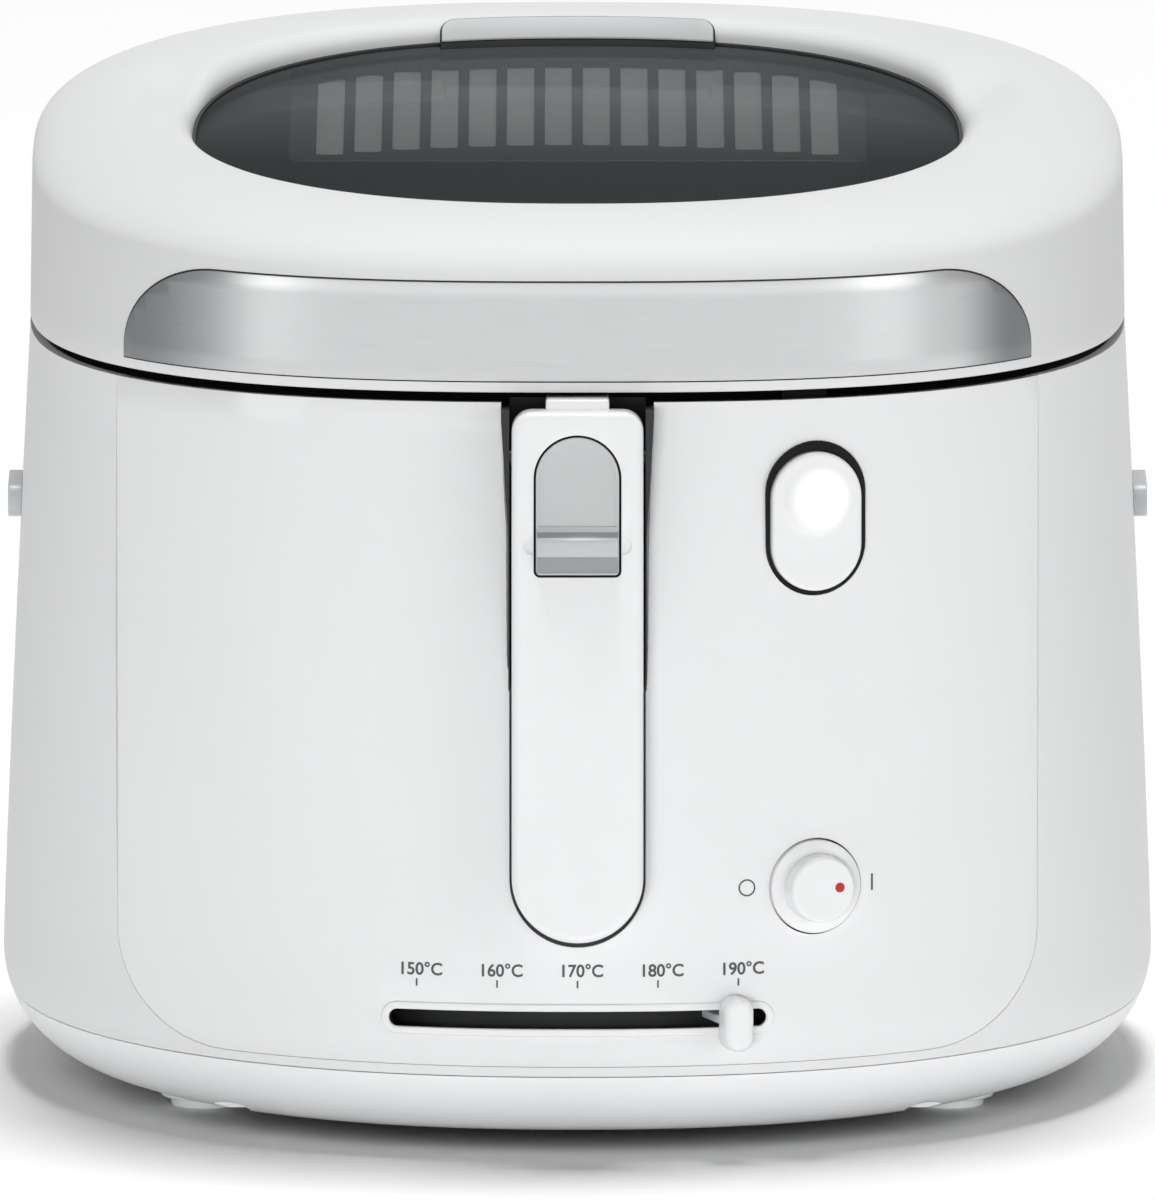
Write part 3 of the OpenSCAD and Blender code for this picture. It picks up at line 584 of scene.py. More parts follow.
# Plain display: white stays white, and greys keep the value that their hex colour gives
bpy.context.scene.view_settings.view_transform = "Standard"
print("sky:", len(sky.nodes), "nodes")

# %% [markdown]
# ## Housing
# The housing is one moulded shell that leaves the front open for a separate panel. Its wall is
# modelled as a flat strip, the body's height by its way round. The openings are cut while it is
# flat, where cutting is simple, and then the strip is bent round the body's outline.

# %% Front panel outline
FACADE_X, FACADE_Z, FACADE_R = 119.5, 24.7, 28.0
SEAM_GAP = 0.16                        # open seam between panel and housing


def facade_outline(grow=0.0, top=RIM_Z):
    x, z, r = FACADE_X + grow, FACADE_Z - grow, FACADE_R + grow
    low = arc(-x + r, z + r, r, 180, 270) + arc(x - r, z + r, r, 270, 360)
    return [(-x, top)] + low + [(x, top)]


print("the front panel is", 2 * FACADE_X, "mm wide and", round(RIM_Z - FACADE_Z, 1), "mm high")

# %% [markdown]
# The panel's outline is also the opening in the housing, a hair wider, and that hair is the open
# seam between the two mouldings. The flat strip is cut and sliced first. Then it is bent until
# its two ends meet at the fryer's side, where merging the doubled points closes the wall.

# %% Housing shell
STRIP = 2.6                            # mm of flat strip for each degree of turn


def strip_surface(along, z):
    return body_point(along / STRIP, z)


def to_strip(outline):
    return [(STRIP * body_turn(x, min(z, RIM_Z)), z) for x, z in outline]


def back_to_strip(outline):
    """The same for an outline at the back of the body."""
    return [(STRIP * (360 - body_turn(x, min(z, RIM_Z))), z) for x, z in outline]


ROUND = 360 * STRIP                    # the strip's length, once round the body
housing = slab("housing_shell", [(0, SEAM_Z), (ROUND, SEAM_Z), (ROUND, RIM_Z), (0, RIM_Z)], 0, WALL)
# The opening's upright edges get points on the way up, so that they curve with the body
opening = facade_outline(SEAM_GAP, RIM_Z + 10)
edge_x = opening[-1][0]
punch(housing, to_strip(opening[:1] + [(-edge_x, z) for z in (180, 60)] + opening[1:-1]
                        + [(edge_x, z) for z in steps_between(60, 180, 12)] + opening[-1:]))
HINGE_X, HINGE_LOW, HINGE_HIGH = 45.0, 186.5, 205.0
punch(housing, back_to_strip([(-HINGE_X, HINGE_LOW), (HINGE_X, HINGE_LOW), (HINGE_X, HINGE_HIGH),
                              (-HINGE_X, HINGE_HIGH)]))
slice_between(housing, 0, 0, ROUND, 1.5 * STRIP)
slice_up(housing, 2, [23.5, 25, 27, 29, BULGE_Z, 36, 42] + steps_between(48, RIM_Z, 12)[:-1])
# The strip's two end faces would be left inside the closed wall
for polygon in housing.data.polygons:
    polygon.select = min(abs(polygon.center.x), abs(polygon.center.x - ROUND * MM)) < 1e-6
only(housing)
bpy.ops.object.mode_set(mode="EDIT")
bpy.ops.mesh.delete(type="FACE")
bpy.ops.object.mode_set(mode="OBJECT")
bend(housing, strip_surface)
tidy(housing)
finish_piece(housing, "root", white_housing, ["outer_housing"])

# %% [markdown]
# ## Front panel
# The panel follows the same outline, so it is a flat sheet with its openings: the channel that
# the handle lies in, the temperature slot, and the holes for the release button and the power
# knob.

# %% Front panel
PIVOT_Z = 184.0
# Half width of the handle channel and the heights between which it narrows to the handle
CHANNEL_TOP_X, CHANNEL_X = 19.7, 17.6
CHANNEL_TAPER = (159.0, 194.0)
CHANNEL_END = 73.6                     # middle of the round lower end
CONTROL_X, RELEASE_Z, KNOB_Z = 61.5, 166.5, 70.5
RING_W, RING_L = 26.8, 40.1
KNOB_RING_R = 12.2
SLOT_Z, SLOT_X, SLOT_H = 37.0, 48.8, 4.5
FRAME_W = 4.0                          # how much wider the slot's frame is, both sides together


def on_side(outline, x, z):
    """An outline round (x, z) that keeps its true width on the curved front."""
    narrower = abs(outward(front_point, x, z).y)
    return [(x + px * narrower, z + pz) for px, pz in outline]


def channel_outline(grow=0.0, top=210.0):
    """Straight beside the handle and round below it; wider towards the rim."""
    narrow, wide = CHANNEL_X + grow, CHANNEL_TOP_X + grow
    low, high = CHANNEL_TAPER
    sides = [(narrow, low), (wide, high), (wide, top)] if top > high else [(narrow, top)]
    return arc(0, CHANNEL_END, narrow, 180, 360, 40) + sides + [(-x, z) for x, z in sides[::-1]]


def slot_outline(grow=0.0):
    """The temperature slot, or an outline round it."""
    return at(turned(stadium(SLOT_H + grow, 2 * SLOT_X + grow)), 0, SLOT_Z)


facade = slab("front_panel", facade_outline(), 0, WALL)
punch(facade, channel_outline())
punch(facade, on_side(stadium(RING_W + 0.2, RING_L + 0.2), CONTROL_X, RELEASE_Z))
punch(facade, on_side(circle(KNOB_RING_R + 0.4, 64), CONTROL_X, KNOB_Z))
punch(facade, slot_outline(FRAME_W))
bevel(facade, 0.2, 2)
slice_between(facade, 0, -FACADE_X, FACADE_X, 4)
slice_between(facade, 2, FACADE_Z, RIM_Z, 8)
bend(facade, front_point)
tidy(facade)
finish_piece(facade, "root", white_gloss, ["front_facade"])

# The channel's floor goes on below its cheeks as a thin dark sheet behind the handle. Its dark
# edge round the handle is painted shadow, where the handle shades the panel
BED_TOP = 124.0
bed = slab("handle_channel_bed_painted_shadow", channel_outline(1.2, BED_TOP), 1.0, 2.4)
slice_between(bed, 2, 56, BED_TOP, 6)
slice_between(bed, 0, -18, 18, 6)
bend(bed, front_point)
finish_piece(bed, "root", dark_plastic)

# %% [markdown]
# ## Skirt
# The skirt is the lower ring, rounded under like a bowl. It is a shell through rings, one for
# each height: up the outside, over the top edge, and down the inside to the flange that holds the
# feet.

# %% Skirt
SEAM = 0.24                            # open seam between skirt and housing


def body_ring(z, inset=0.0):
    size_in = body_in(z) + inset
    return (BODY_A - size_in, BODY_B - size_in, body_n(z), z, 0.0)


def flange_ring(z, width=30.0):
    size_in = body_in(FOOT_H) + width
    return (BODY_A - size_in, BODY_B - size_in, SEAM_N, z, 0.0)


SKIRT_TOP, FLANGE_TOP = SEAM_Z - SEAM, 8.0
outside = [body_ring(z) for z in steps_between(FOOT_H, SKIRT_TOP, 1.4)]
inside = [body_ring(SKIRT_TOP, WALL), body_ring(14, WALL + 1.5), body_ring(FLANGE_TOP, WALL)]
skirt = loft("skirt_ring", outside + inside + [flange_ring(FLANGE_TOP), flange_ring(FOOT_H)])
bevel(skirt, 0.35, 2)
# A small arched notch in the lower edge beside each front foot
NOTCH_X, NOTCH_R, NOTCH_RISE, NOTCH_BACK = 90.0, 5.0, 0.6, -112.0
for side in (-1, 1):
    arch = [(x, NOTCH_RISE * z) for x, z in circle(NOTCH_R, 32)]
    punch(skirt, at(arch, side * NOTCH_X, FOOT_H), -BODY_B, NOTCH_BACK)
# Its brighter white is painted light
finish_piece(skirt, "root", skirt_white_painted_light, ["base_skirt"])

# %% [markdown]
# ## Lid
# The lid is a rounded ring round the window. Its wall rises almost upright, rolls over a broad
# shoulder, and dips inwards to the glass. At each side a shallow hollow in the ring gives a
# finger room beside the glass. The hollows are pressed in by moving the shell's points along a
# soft bell curve, which leaves no edge.

# %% Lid shell
LID_Z = 200.0
LID_A, LID_B = BODY_A - FLARE, BODY_B - FLARE
LID_WALL_H, LID_CROWN, LID_SLOPE = 40.0, 13.5, 0.067
LID_T = 2.5
WINDOW_A, WINDOW_B, WINDOW_N = 105.0, 119.0, 2.35
WINDOW_Y = -8.0                        # middle of the window
GLASS_SLOPE = LID_SLOPE + 0.018
GLASS_DEEP = 8.5                       # how far the glass lies below the crest
GLASS_Z = LID_Z + LID_WALL_H + LID_CROWN - GLASS_DEEP
GLASS_T, SEAL_T = 3.0, 0.8
LIP, LIP_T = 4.0, 2.3                  # how far the lid reaches over the glass, and how thick
TOP_IN = 0.6                           # how far the wall leans in on its way up
CREST = 0.95                           # where the crest lies between the wall and the window


def mix(low, high, share):
    return low + (high - low) * share


def wall_ring(share, inset=0.0):
    """The lid's upright wall, from its lower edge (0) to the shoulder (1)."""
    size_in = TOP_IN * share + inset
    return (LID_A - size_in, LID_B - size_in, RIM_N, LID_Z + LID_WALL_H * share,
            LID_SLOPE * share)


def shoulder_ring(turn, inset=0.0):
    """The rounded shoulder, from the wall (0 degrees) to the crest (90)."""
    t = math.radians(turn)
    share = CREST * (1 - math.cos(t))
    size_in = TOP_IN + inset
    return (mix(LID_A - size_in, WINDOW_A, share), mix(LID_B - size_in, WINDOW_B, share),
            mix(RIM_N, WINDOW_N, share),
            LID_Z + LID_WALL_H + LID_CROWN * math.sin(t) - inset, LID_SLOPE, WINDOW_Y * share)


def dip_ring(turn):
    """The roll from the crest down to the lip over the glass."""
    t = math.radians(turn)
    a, b, n, z, slope, y = shoulder_ring(90)
    inward, fall = math.sin(t), 1 - math.cos(t)
    return (mix(a, WINDOW_A - LIP, inward), mix(b, WINDOW_B - LIP, inward),
            mix(n, WINDOW_N, inward), mix(z, GLASS_Z + LIP_T, fall), mix(slope, GLASS_SLOPE, fall),
            mix(y, WINDOW_Y, inward))


def window_ring(inset, lift):
    return (WINDOW_A - inset, WINDOW_B - inset, WINDOW_N, GLASS_Z + lift, GLASS_SLOPE, WINDOW_Y)


rings = [wall_ring(s) for s in steps_between(0, 1, 0.2)[:-1]]
rings += [shoulder_ring(t) for t in steps_between(0, 90, 5)]
rings += [dip_ring(t) for t in steps_between(0, 90, 12)[1:]]
rings += [window_ring(LIP, SEAL_T), window_ring(-1.5, SEAL_T)]
rings += [shoulder_ring(t, LID_T) for t in steps_between(90, 0, -15)]
rings += [wall_ring(0, LID_T)]
lid = loft("lid_shell_ring", rings)

HOLLOW_X, HOLLOW_Y = 106.0, 22.0       # middle of the finger hollow
HOLLOW_W, HOLLOW_L, HOLLOW_DEPTH = 8.0, 26.0, 4.2


def finger_hollow(x, y, z):
    bell = math.exp(-((abs(x) - HOLLOW_X) / HOLLOW_W) ** 2 - ((y - HOLLOW_Y) / HOLLOW_L) ** 2)
    return x, y, z - (HOLLOW_DEPTH * bell if z > LID_Z + LID_WALL_H else 0)


reshape(lid, finger_hollow)
bevel(lid, 0.4, 2, angle=50)
# Its darker white is painted shade
finish_piece(lid, "lid", lid_white_painted_shade, ["lid_shell"])

# %% [markdown]
# ## Window
# A flat pane of toughened, smoked glass lies under the lip on a thin black seal. It slopes a
# little more than the lid, so that condensed water runs forward.

# %% Window glass and seal
glass = loft("window_pane", [window_ring(0.5, -GLASS_T), window_ring(0.5, 0)], closed=False)
bevel(glass, 0.5, 2)
finish_piece(glass, "lid", smoked_glass, ["window_glass"])

seal = loft("window_seal", [window_ring(0.5, 0.02), window_ring(0.5, SEAL_T),
                            window_ring(LIP + 0.9, SEAL_T), window_ring(LIP + 0.9, 0.02)])
finish_piece(seal, "lid", seal_rubber, ["window_gasket"])

# %% [markdown]
# ## Stainless band
# The band is brushed stainless sheet, half a millimetre thick, stuck on the front of the lid. Its
# bed shows as a thin dark line round it, which is also painted shade for the gap round the band.
# Both are flat outlines bent onto the lid's wall.


# %% Band
def lid_front(x, z):
    """The point of the lid's front at x and height z."""
    y = -LID_B
    for _ in range(4):
        level = (z - LID_Z) / (LID_WALL_H + LID_SLOPE * y)
        if level <= 1:
            a, b, n = wall_ring(level)[:3]
        else:
            rise = min(0.999, (z - LID_Z - LID_WALL_H - LID_SLOPE * y) / LID_CROWN)
            a, b, n = shoulder_ring(math.degrees(math.asin(rise)))[:3]
        y = -b * (1 - min(0.999, abs(x) / a) ** n) ** (1 / n)
    return Vector((x, y, z))


BAND_X, BAND_H = 117.2, 25.6
BAND_ROUND = (24.0, 23.0)              # the upper corners, across and up
BAND_LOW = LID_Z + 3


def band_outline(grow=0.0):
    x, low, high = BAND_X + grow, BAND_LOW - grow, BAND_LOW + BAND_H + grow
    wide, tall = BAND_ROUND
    corner = [(x - wide + px * wide, high - tall + pz * tall)
              for px, pz in arc(0, 0, 1, 0, 90, 20)]
    return [(-x, low), (x, low)] + corner + [(-px, pz) for px, pz in corner[::-1]]


# The bed's dark line is partly painted shade of the gap round the band
for name, grow, near, far, finish, slot_name, stands_for in (
        ("trim_band_bed_painted_shade", 0.4, -0.12, 0.3, seal_rubber, "seal_rubber", []),
        ("trim_band_sheet", 0.0, -0.5, 0.2, trim_steel, "trim_steel", ["trim_band"])):
    band = slab(name, band_outline(grow), near, far)
    bevel(band, 0.1, 2)
    slice_between(band, 0, -BAND_X, BAND_X, 3)
    slice_between(band, 2, BAND_LOW, BAND_LOW + BAND_H, 4.5)
    bend(band, lid_front)
    tidy(band)
    finish_piece(band, "lid", finish, stands_for)

# %% [markdown]
# ## Plaque and filter cover
# At the back of the window a bare silver plaque covers the edge of the pane, with a dark gap
# below it: a black bed whose black is painted shade of the gap. Under the glass lies the filter
# cover, a black box with fourteen slots, and the pale filter mat shows through the slots.

# %% Plaque
PLAQUE_W, PLAQUE_L, PLAQUE_R = 72.0, 9.3, 3.4
PLAQUE_GAP = 2.2                       # height of the dark gap below the plate
PLAQUE_Y = WINDOW_Y + WINDOW_B - 9.0


def glass_top(y):
    return GLASS_Z + GLASS_SLOPE * y


plaque_low = Vector((0, PLAQUE_Y, glass_top(PLAQUE_Y) + 0.6))
plaque_run = Vector((0, 1, 1)).normalized()
plaque_down = Vector((0, plaque_run.z, -plaque_run.y))


def on_plaque(x, depth, along):
    """A place on the plaque, which leans back and is bowed like the edge of the window."""
    bow = WINDOW_B * ((1 - abs(x / WINDOW_A) ** WINDOW_N) ** (1 / WINDOW_N) - 1)
    return (plaque_low + Vector((x, bow, GLASS_SLOPE * bow)) + plaque_run * along
            + plaque_down * depth)


# The bed's black below the plate is painted shade of the gap
for name, grow, low, near, far, finish, slot_name, stands_for in (
        ("window_plaque_bed_painted_shade", 0.45, -0.45, 0.5, 1.9, black_and_gap_shade, "seal_rubber", []),
        ("window_plaque_plate", 0.0, PLAQUE_GAP, 0, 1.5, silver_plastic, "silver_plastic",
         ["window_plaque"])):
    x, r = PLAQUE_W / 2 + grow, PLAQUE_R + grow
    high = PLAQUE_L + grow
    plaque = slab(name, [(-x, low), (x, low)] + arc(x - r, high - r, r, 0, 90)
                  + arc(-x + r, high - r, r, 90, 180), near, far)
    bevel(plaque, 0.35, 3)
    slice_between(plaque, 0, -x, x, 4)
    reshape(plaque, on_plaque)
    tidy(plaque)
    finish_piece(plaque, "lid", finish, stands_for)

# %% [markdown]
# The filter cover is a moulded box, open below, that holds the fibre mat. It is made as a slab
# that is hollowed from one side and slotted, and then laid under the glass at the same slope. The
# slots are cut in a loop, because only their place and length change.


# %% Filter cover
def lay_flat(piece, gap):
    """Lays a slab under the glass, gap below it and parallel to it; its depth goes down."""
    reshape(piece, lambda x, depth, y: (x, y, glass_top(y) - GLASS_T - gap - depth))
    tidy(piece)


COVER_X, COVER_Y0, COVER_Y1 = 76.0, -16.0, 108.0
COVER_H, COVER_GAP = 30.0, 0.6
VENTS, VENT_W, VENT_PITCH = 14, 7.2, 10.0
VENT_Y0, VENT_Y1 = 2.0, 104.5          # the two ends of the middle slots
VENT_BOW0, VENT_BOW1 = 11.0, 16.0      # how much further forward the outer ones end
cover_mid = (COVER_Y0 + COVER_Y1) / 2
cover_l = COVER_Y1 - COVER_Y0
cover = slab("filter_cover_box", round_box(2 * COVER_X, cover_l, 3, 0, cover_mid), 0, COVER_H)
bevel(cover, 0.8, 3)
punch(cover, round_box(2 * COVER_X - 4, cover_l - 4, 2, 0, cover_mid), 2, 60)
for i in range(VENTS):
    vent_x = (i - (VENTS - 1) / 2) * VENT_PITCH
    bow = (vent_x / ((VENTS - 1) / 2 * VENT_PITCH)) ** 2
    y0, y1 = VENT_Y0 - VENT_BOW0 * bow, VENT_Y1 - VENT_BOW1 * bow
    punch(cover, round_box(VENT_W, y1 - y0, 1.8, vent_x, (y0 + y1) / 2), -5, 10)
bevel(cover, 0.25, 2)
lay_flat(cover, COVER_GAP)
finish_piece(cover, "lid", dark_plastic, ["filter_cover"])

mat = slab("filter_mat_sheet", round_box(2 * COVER_X - 5, cover_l - 5, 2, 0, cover_mid), 2.2, 22)
bevel(mat, 0.8, 2)
lay_flat(mat, COVER_GAP)
finish_piece(mat, "lid", filter_mat, ["filter_cartridge"])

# %% [markdown]
# ## Handle
# The folding handle hangs on a pin in a dark channel. It is a flat bar with a half round end,
# well rounded at its edges, with a neck that goes in under the lid. In its face sits the grey
# button that frees the catch. The handle is drawn upright in its own frame and then tilted with
# the body's wall.

# %% Handle frame
HANDLE_W, HANDLE_L, HANDLE_TOP = 34.0, 138.0, 12.5
HANDLE_FRONT, HANDLE_BACK = -7.5, 4.0
CORNER_R = 5.3
PIVOT_OUT, TILT_SPAN = 5.3, 125.0      # pin before the body's face; height that gives the tilt
UNLOCK_W, UNLOCK_TOP, UNLOCK_LOW = 21.4, HANDLE_TOP - 6.6, HANDLE_TOP - 42.2

face_y = front_point(0, PIVOT_Z).y
tilt = math.atan2(face_y - front_point(0, PIVOT_Z - TILT_SPAN).y, TILT_SPAN)
handle_place = Matrix.Translation(Vector((0, face_y - PIVOT_OUT, PIVOT_Z)) * MM) \
    @ Matrix.Rotation(-tilt, 4, "X")
print("the handle leans back by", round(math.degrees(tilt), 2), "degrees")


def settle(piece, place):
    """Moves a piece to its place and leaves the place in its mesh."""
    only(piece)
    piece.matrix_world = place
    bpy.ops.object.transform_apply(location=True, rotation=True, scale=True)


def side_slab(name, profile, width):
    """A slab whose outline is in Y and Z and which is width wide along X."""
    piece = slab(name, profile, -width / 2, width / 2)
    reshape(piece, lambda y, x, z: (x, y, z))
    tidy(piece)
    return piece


def handle_outline():
    w, low = HANDLE_W / 2, HANDLE_TOP - HANDLE_L + HANDLE_W / 2
    top = HANDLE_TOP - CORNER_R
    return arc(0, low, w, 180, 360, 40) + arc(w - CORNER_R, top, CORNER_R, 0, 90) \
        + arc(CORNER_R - w, top, CORNER_R, 90, 180)


def unlock_outline(grow=0.0):
    r, corner, low = UNLOCK_W / 2 + grow, 1.0 + grow, UNLOCK_LOW - grow
    return arc(-r + corner, low + corner, corner, 180, 270, 6) \
        + arc(r - corner, low + corner, corner, 270, 360, 6) \
        + arc(0, UNLOCK_TOP - UNLOCK_W / 2, r, 0, 180, 32)

# %% [markdown]
# The bar is a slab with well rounded edges, and the neck is a second one, drawn from the side and
# joined to it. The pocket for the button is cut after that rounding, so its own edge stays crisp
# and gets a finer bevel.

# %% Handle
handle = slab("handle_bar", handle_outline(), HANDLE_FRONT, HANDLE_BACK)
bevel(handle, 2.2, 6)
NECK_W, NECK_TOP, NECK_BACK = 16.4, 15.2, 14.0
neck = side_slab("neck", [(-2, 8), (-2, NECK_TOP), (NECK_BACK, NECK_TOP),
                          (NECK_BACK, NECK_TOP - 4), (HANDLE_BACK - 0.5, 4)], NECK_W)
bevel(neck, 0.8, 3)
cut(handle, neck, "UNION")
POCKET = -3.2                          # floor of the button's pocket
punch(handle, unlock_outline(0.65), -15, POCKET)
# A soft dent at each side of the button's ledge
DENT_X, DENT_Z, DENT_SIZE = 11.4, UNLOCK_LOW + 7.6, (2.6, 0.55, 2.4)
for side in (-1, 1):
    bpy.ops.mesh.primitive_uv_sphere_add(segments=32, ring_count=16, radius=1)
    dent = bpy.context.object
    settle(dent, Matrix.Translation(Vector((side * DENT_X, HANDLE_FRONT, DENT_Z)) * MM)
           @ Matrix.Diagonal((*(Vector(DENT_SIZE) * MM), 1)))
    cut(handle, dent)
bevel(handle, 0.3, 2, angle=50)
settle(handle, handle_place)
finish_piece(handle, "handle", white_satin, ["basket_handle"])

# %% [markdown]
# ### The button in the handle
# The button is an arched plate, sunk a little inside its border. At its lower end a ledge stands
# out for the thumb: a slope that faces up, a narrow upright face and a slope that faces down.

# %% Unlock button
PLATE_FRONT, PLATE_BACK, PLATE_SUNK, PLATE_EDGE = HANDLE_FRONT + 0.3, -6.0, 0.45, 0.7
# A thin black ring lines the pocket round the button; its black is painted shade of the gap
unlock_gap_ring = slab("unlock_gap_ring_painted_shade", unlock_outline(0.6), HANDLE_FRONT + 0.5, POCKET - 0.1)
punch(unlock_gap_ring, unlock_outline(0.06), -15, 5)
settle(unlock_gap_ring, handle_place)
finish_piece(unlock_gap_ring, "handle", black_and_gap_shade)

plate = slab("unlock_plate", unlock_outline(), PLATE_FRONT, PLATE_BACK)
punch(plate, unlock_outline(-PLATE_EDGE), -15, PLATE_FRONT + PLATE_SUNK)
LEDGE = [(-6.1, 0.3), (-7.1, 0.3), (-7.6, 0.8), (-9.8, 5.0), (-9.9, 5.4), (-9.9, 8.4),
         (-9.6, 9.2), (-8.9, 9.8), (-7.8, 11.2), (-7.1, 12.6), (-6.1, 12.8)]
ledge = side_slab("ledge", [(y, UNLOCK_LOW + z) for y, z in LEDGE], UNLOCK_W - 0.3)
bevel(ledge, 0.2, 2, angle=25)
cut(plate, ledge, "UNION")
bevel(plate, 0.18, 2, angle=50)
# The slope under the ledge, and the narrow one where it meets the plate, get painted shade: they
# take the darker copy of the button's grey
LEDGE_UNDER, LEDGE_TOP = UNLOCK_LOW + 6, UNLOCK_LOW + 10.2
shaded = [polygon.index for polygon in plate.data.polygons
          if (polygon.normal.z < -0.25 and polygon.center.z < LEDGE_UNDER * MM)
          or (polygon.normal.z > 0.25
              and LEDGE_TOP * MM < polygon.center.z < (LEDGE_TOP + 1.0) * MM)]
settle(plate, handle_place)
finish_piece(plate, "unlock", button_grey, ["unlock_button"])
plate.data.materials.append(button_painted_shade)
for index in shaded:
    plate.data.polygons[index].material_index = 1
print(len(shaded), "shaded faces")

# %% [markdown]
# ## Release button
# The button that frees the lid stands in a black ring at the right of the handle. Its face has a
# round, slanting pad for the finger. The face is sliced finely and its points are raised along a
# curve that runs out level at the pad's edge, so that the pad grows out of the face.


# %% Release button
def front_place(x, z):
    """The place of a rigid part on the front: its -Y points along the body's outward normal."""
    spot, normal = front_point(x, z), outward(front_point, x, z)
    return Matrix.Translation(spot * MM) @ Matrix.Rotation(math.atan2(normal.x, -normal.y), 4, "Z")


BUTTON_W, BUTTON_L = 24.3, 36.4
BUTTON_DROP = 0.75                     # the button sits a little low in its ring
ring = slab("release_button_ring", stadium(RING_W, RING_L), -0.3, 8)
punch(ring, at(stadium(BUTTON_W + 0.5, BUTTON_L + 0.5), 0, -BUTTON_DROP), -5, 12)
bevel(ring, 0.25, 2)
release_place = front_place(CONTROL_X, RELEASE_Z)
settle(ring, release_place)
finish_piece(ring, "root", black_and_gap_shade, ["release_ring"])

button = slab("release_button_cap", at(stadium(BUTTON_W, BUTTON_L), 0, -BUTTON_DROP), -1.8, 9)
bevel(button, 1.1, 4)
slice_up(button, 0, steps_between(-12, 12, 0.8))
slice_up(button, 2, steps_between(-16, 17, 0.8))
# The pad stands proud of the button's upper half, most at its lower left edge
PAD_Z, PAD_R, PAD_RISE = 5.0, 9.2, 2.2
PAD_LEFT, PAD_DOWN = 0.25, 0.43        # how far it slants each way


def finger_pad(x, y, z):
    reach = math.hypot(x, z - PAD_Z) / PAD_R
    if y < 0 and reach < 1:
        slant = 0.5 - (PAD_DOWN * (z - PAD_Z) + PAD_LEFT * x) / PAD_R
        y -= PAD_RISE * slant * (1 - reach ** 6)
    return x, y, z


reshape(button, finger_pad)
settle(button, release_place)

# %% [markdown]
# The pad carries a painted highlight: its colour is made brighter than the rest of the button.
# A second material on its faces would end in a hard edge. Instead the button's material is copied
# and goes over to a purer white by the distance from the pad's middle.

# %% Painted highlight on the pad
HIGHLIGHT_MIDDLE, HIGHLIGHT_R = (0.8, -3.0, PAD_Z + 0.3), 6.0
pad_painted_highlight = white_satin.copy()
pad_painted_highlight.name = "ABS_half_polished_white_pad_painted_highlight"
tree = pad_painted_highlight.node_tree
shader = next(n for n in tree.nodes if n.type == "BSDF_PRINCIPLED")
plain = shader.inputs["Base Color"].links[0].from_socket
where = node(tree, "ShaderNodeTexCoord").outputs["Object"]
away = node(tree, "ShaderNodeVectorMath",
            {0: where, 1: release_place @ (Vector(HIGHLIGHT_MIDDLE) * MM)}, operation="DISTANCE")
share = node(tree, "ShaderNodeMapRange",
             {"Value": away.outputs["Value"], "From Min": HIGHLIGHT_R * MM, "From Max": PAD_R * MM},
             interpolation_type="SMOOTHSTEP")
tint = node(tree, "ShaderNodeMix", {"Factor": share.outputs["Result"],
                                    "A": linear("#FFFFFF"), "B": plain}, data_type="RGBA")
tree.links.new(tint.outputs["Result"], shader.inputs["Base Color"])
finish_piece(button, "release", pad_painted_highlight, ["release_button"])

# %% [markdown]
# ## Power knob
# Knob and base ring are turned shapes: a profile carried round an axis. The profile is a list of
# radius and height above the panel, from the underside out to the rim and in over the face.


# %% Turned parts
def turned_part(name, profile, around=96):
    """A part turned round the Y axis. Heights of the profile point out of the panel, to -Y."""
    piece = loft(name, [(r, r, 2.0, h, 0.0) for r, h in profile], closed=False, around=around)
    reshape(piece, lambda x, y, z: (x, -z, y))
    return piece


def rounded(radius, height, corner, count=6):
    """Profile points that round the outer edge of a disc at this radius and height."""
    return arc(radius - corner, height - corner, corner, 0, 90, count)


KNOB_R = 9.0
knob_base = turned_part("power_knob_base", [(3.1, -4), (KNOB_RING_R, -4)]
                        + rounded(KNOB_RING_R, 1.0, 0.5) + [(10.6, 1.55), (9.8, 1.6), (3.1, 1.6)])
knob_place = front_place(CONTROL_X, KNOB_Z)
settle(knob_base, knob_place)
finish_piece(knob_base, "root", white_satin, ["knob_ring"])

knob = turned_part("power_knob_cap", [(3, -31), (3, 1.9), (KNOB_R - 0.2, 1.9), (KNOB_R, 2.2)]
                   + rounded(KNOB_R - 0.35, 6.6, 1.1, 8) + [(5, 6.52), (0.4, 6.45)])
settle(knob, knob_place)
finish_piece(knob, "knob", white_satin, ["power_knob"])

DOT_R, DOT_X, DOT_Z, DOT_FACE = 1.3, 4.4, 0.4, 6.62
dot = turned_part("power_knob_dot", [(0.3, 6.2), (DOT_R, 6.2)] + rounded(DOT_R, DOT_FACE, 0.1, 3)
                  + [(0.3, DOT_FACE)], 32)
settle(dot, knob_place @ Matrix.Translation((DOT_X * MM, 0, DOT_Z * MM)))
finish_piece(dot, "knob", ink_red)

# %% [markdown]
# ## Temperature slot and lever
# A moulded frame stands a little proud round the slot. Behind it a black liner closes the view to
# the sides. The lever comes out through the slot from its shaft far inside, so at the end of its
# travel it leaves the slot at an angle, and the knob on it is turned the same way.

# %% Slot frame and liner
for name, outer, inner, near, edge, finish, slot_name, stands_for in (
        ("slot_frame_rim", FRAME_W, 0, -0.45, 0.45, white_satin, "white_satin", ["slot_frame"]),
        ("slot_liner", 0.8, -0.1, 0.3, 0.1, dark_plastic, "dark_plastic", [])):
    frame_piece = slab(name, slot_outline(outer), near, WALL)
    punch(frame_piece, slot_outline(inner))
    bevel(frame_piece, edge, 3)
    slice_up(frame_piece, 0, steps_between(-SLOT_X, SLOT_X, 4))
    bend(frame_piece, front_point)
    tidy(frame_piece)
    finish_piece(frame_piece, "root", finish, stands_for)

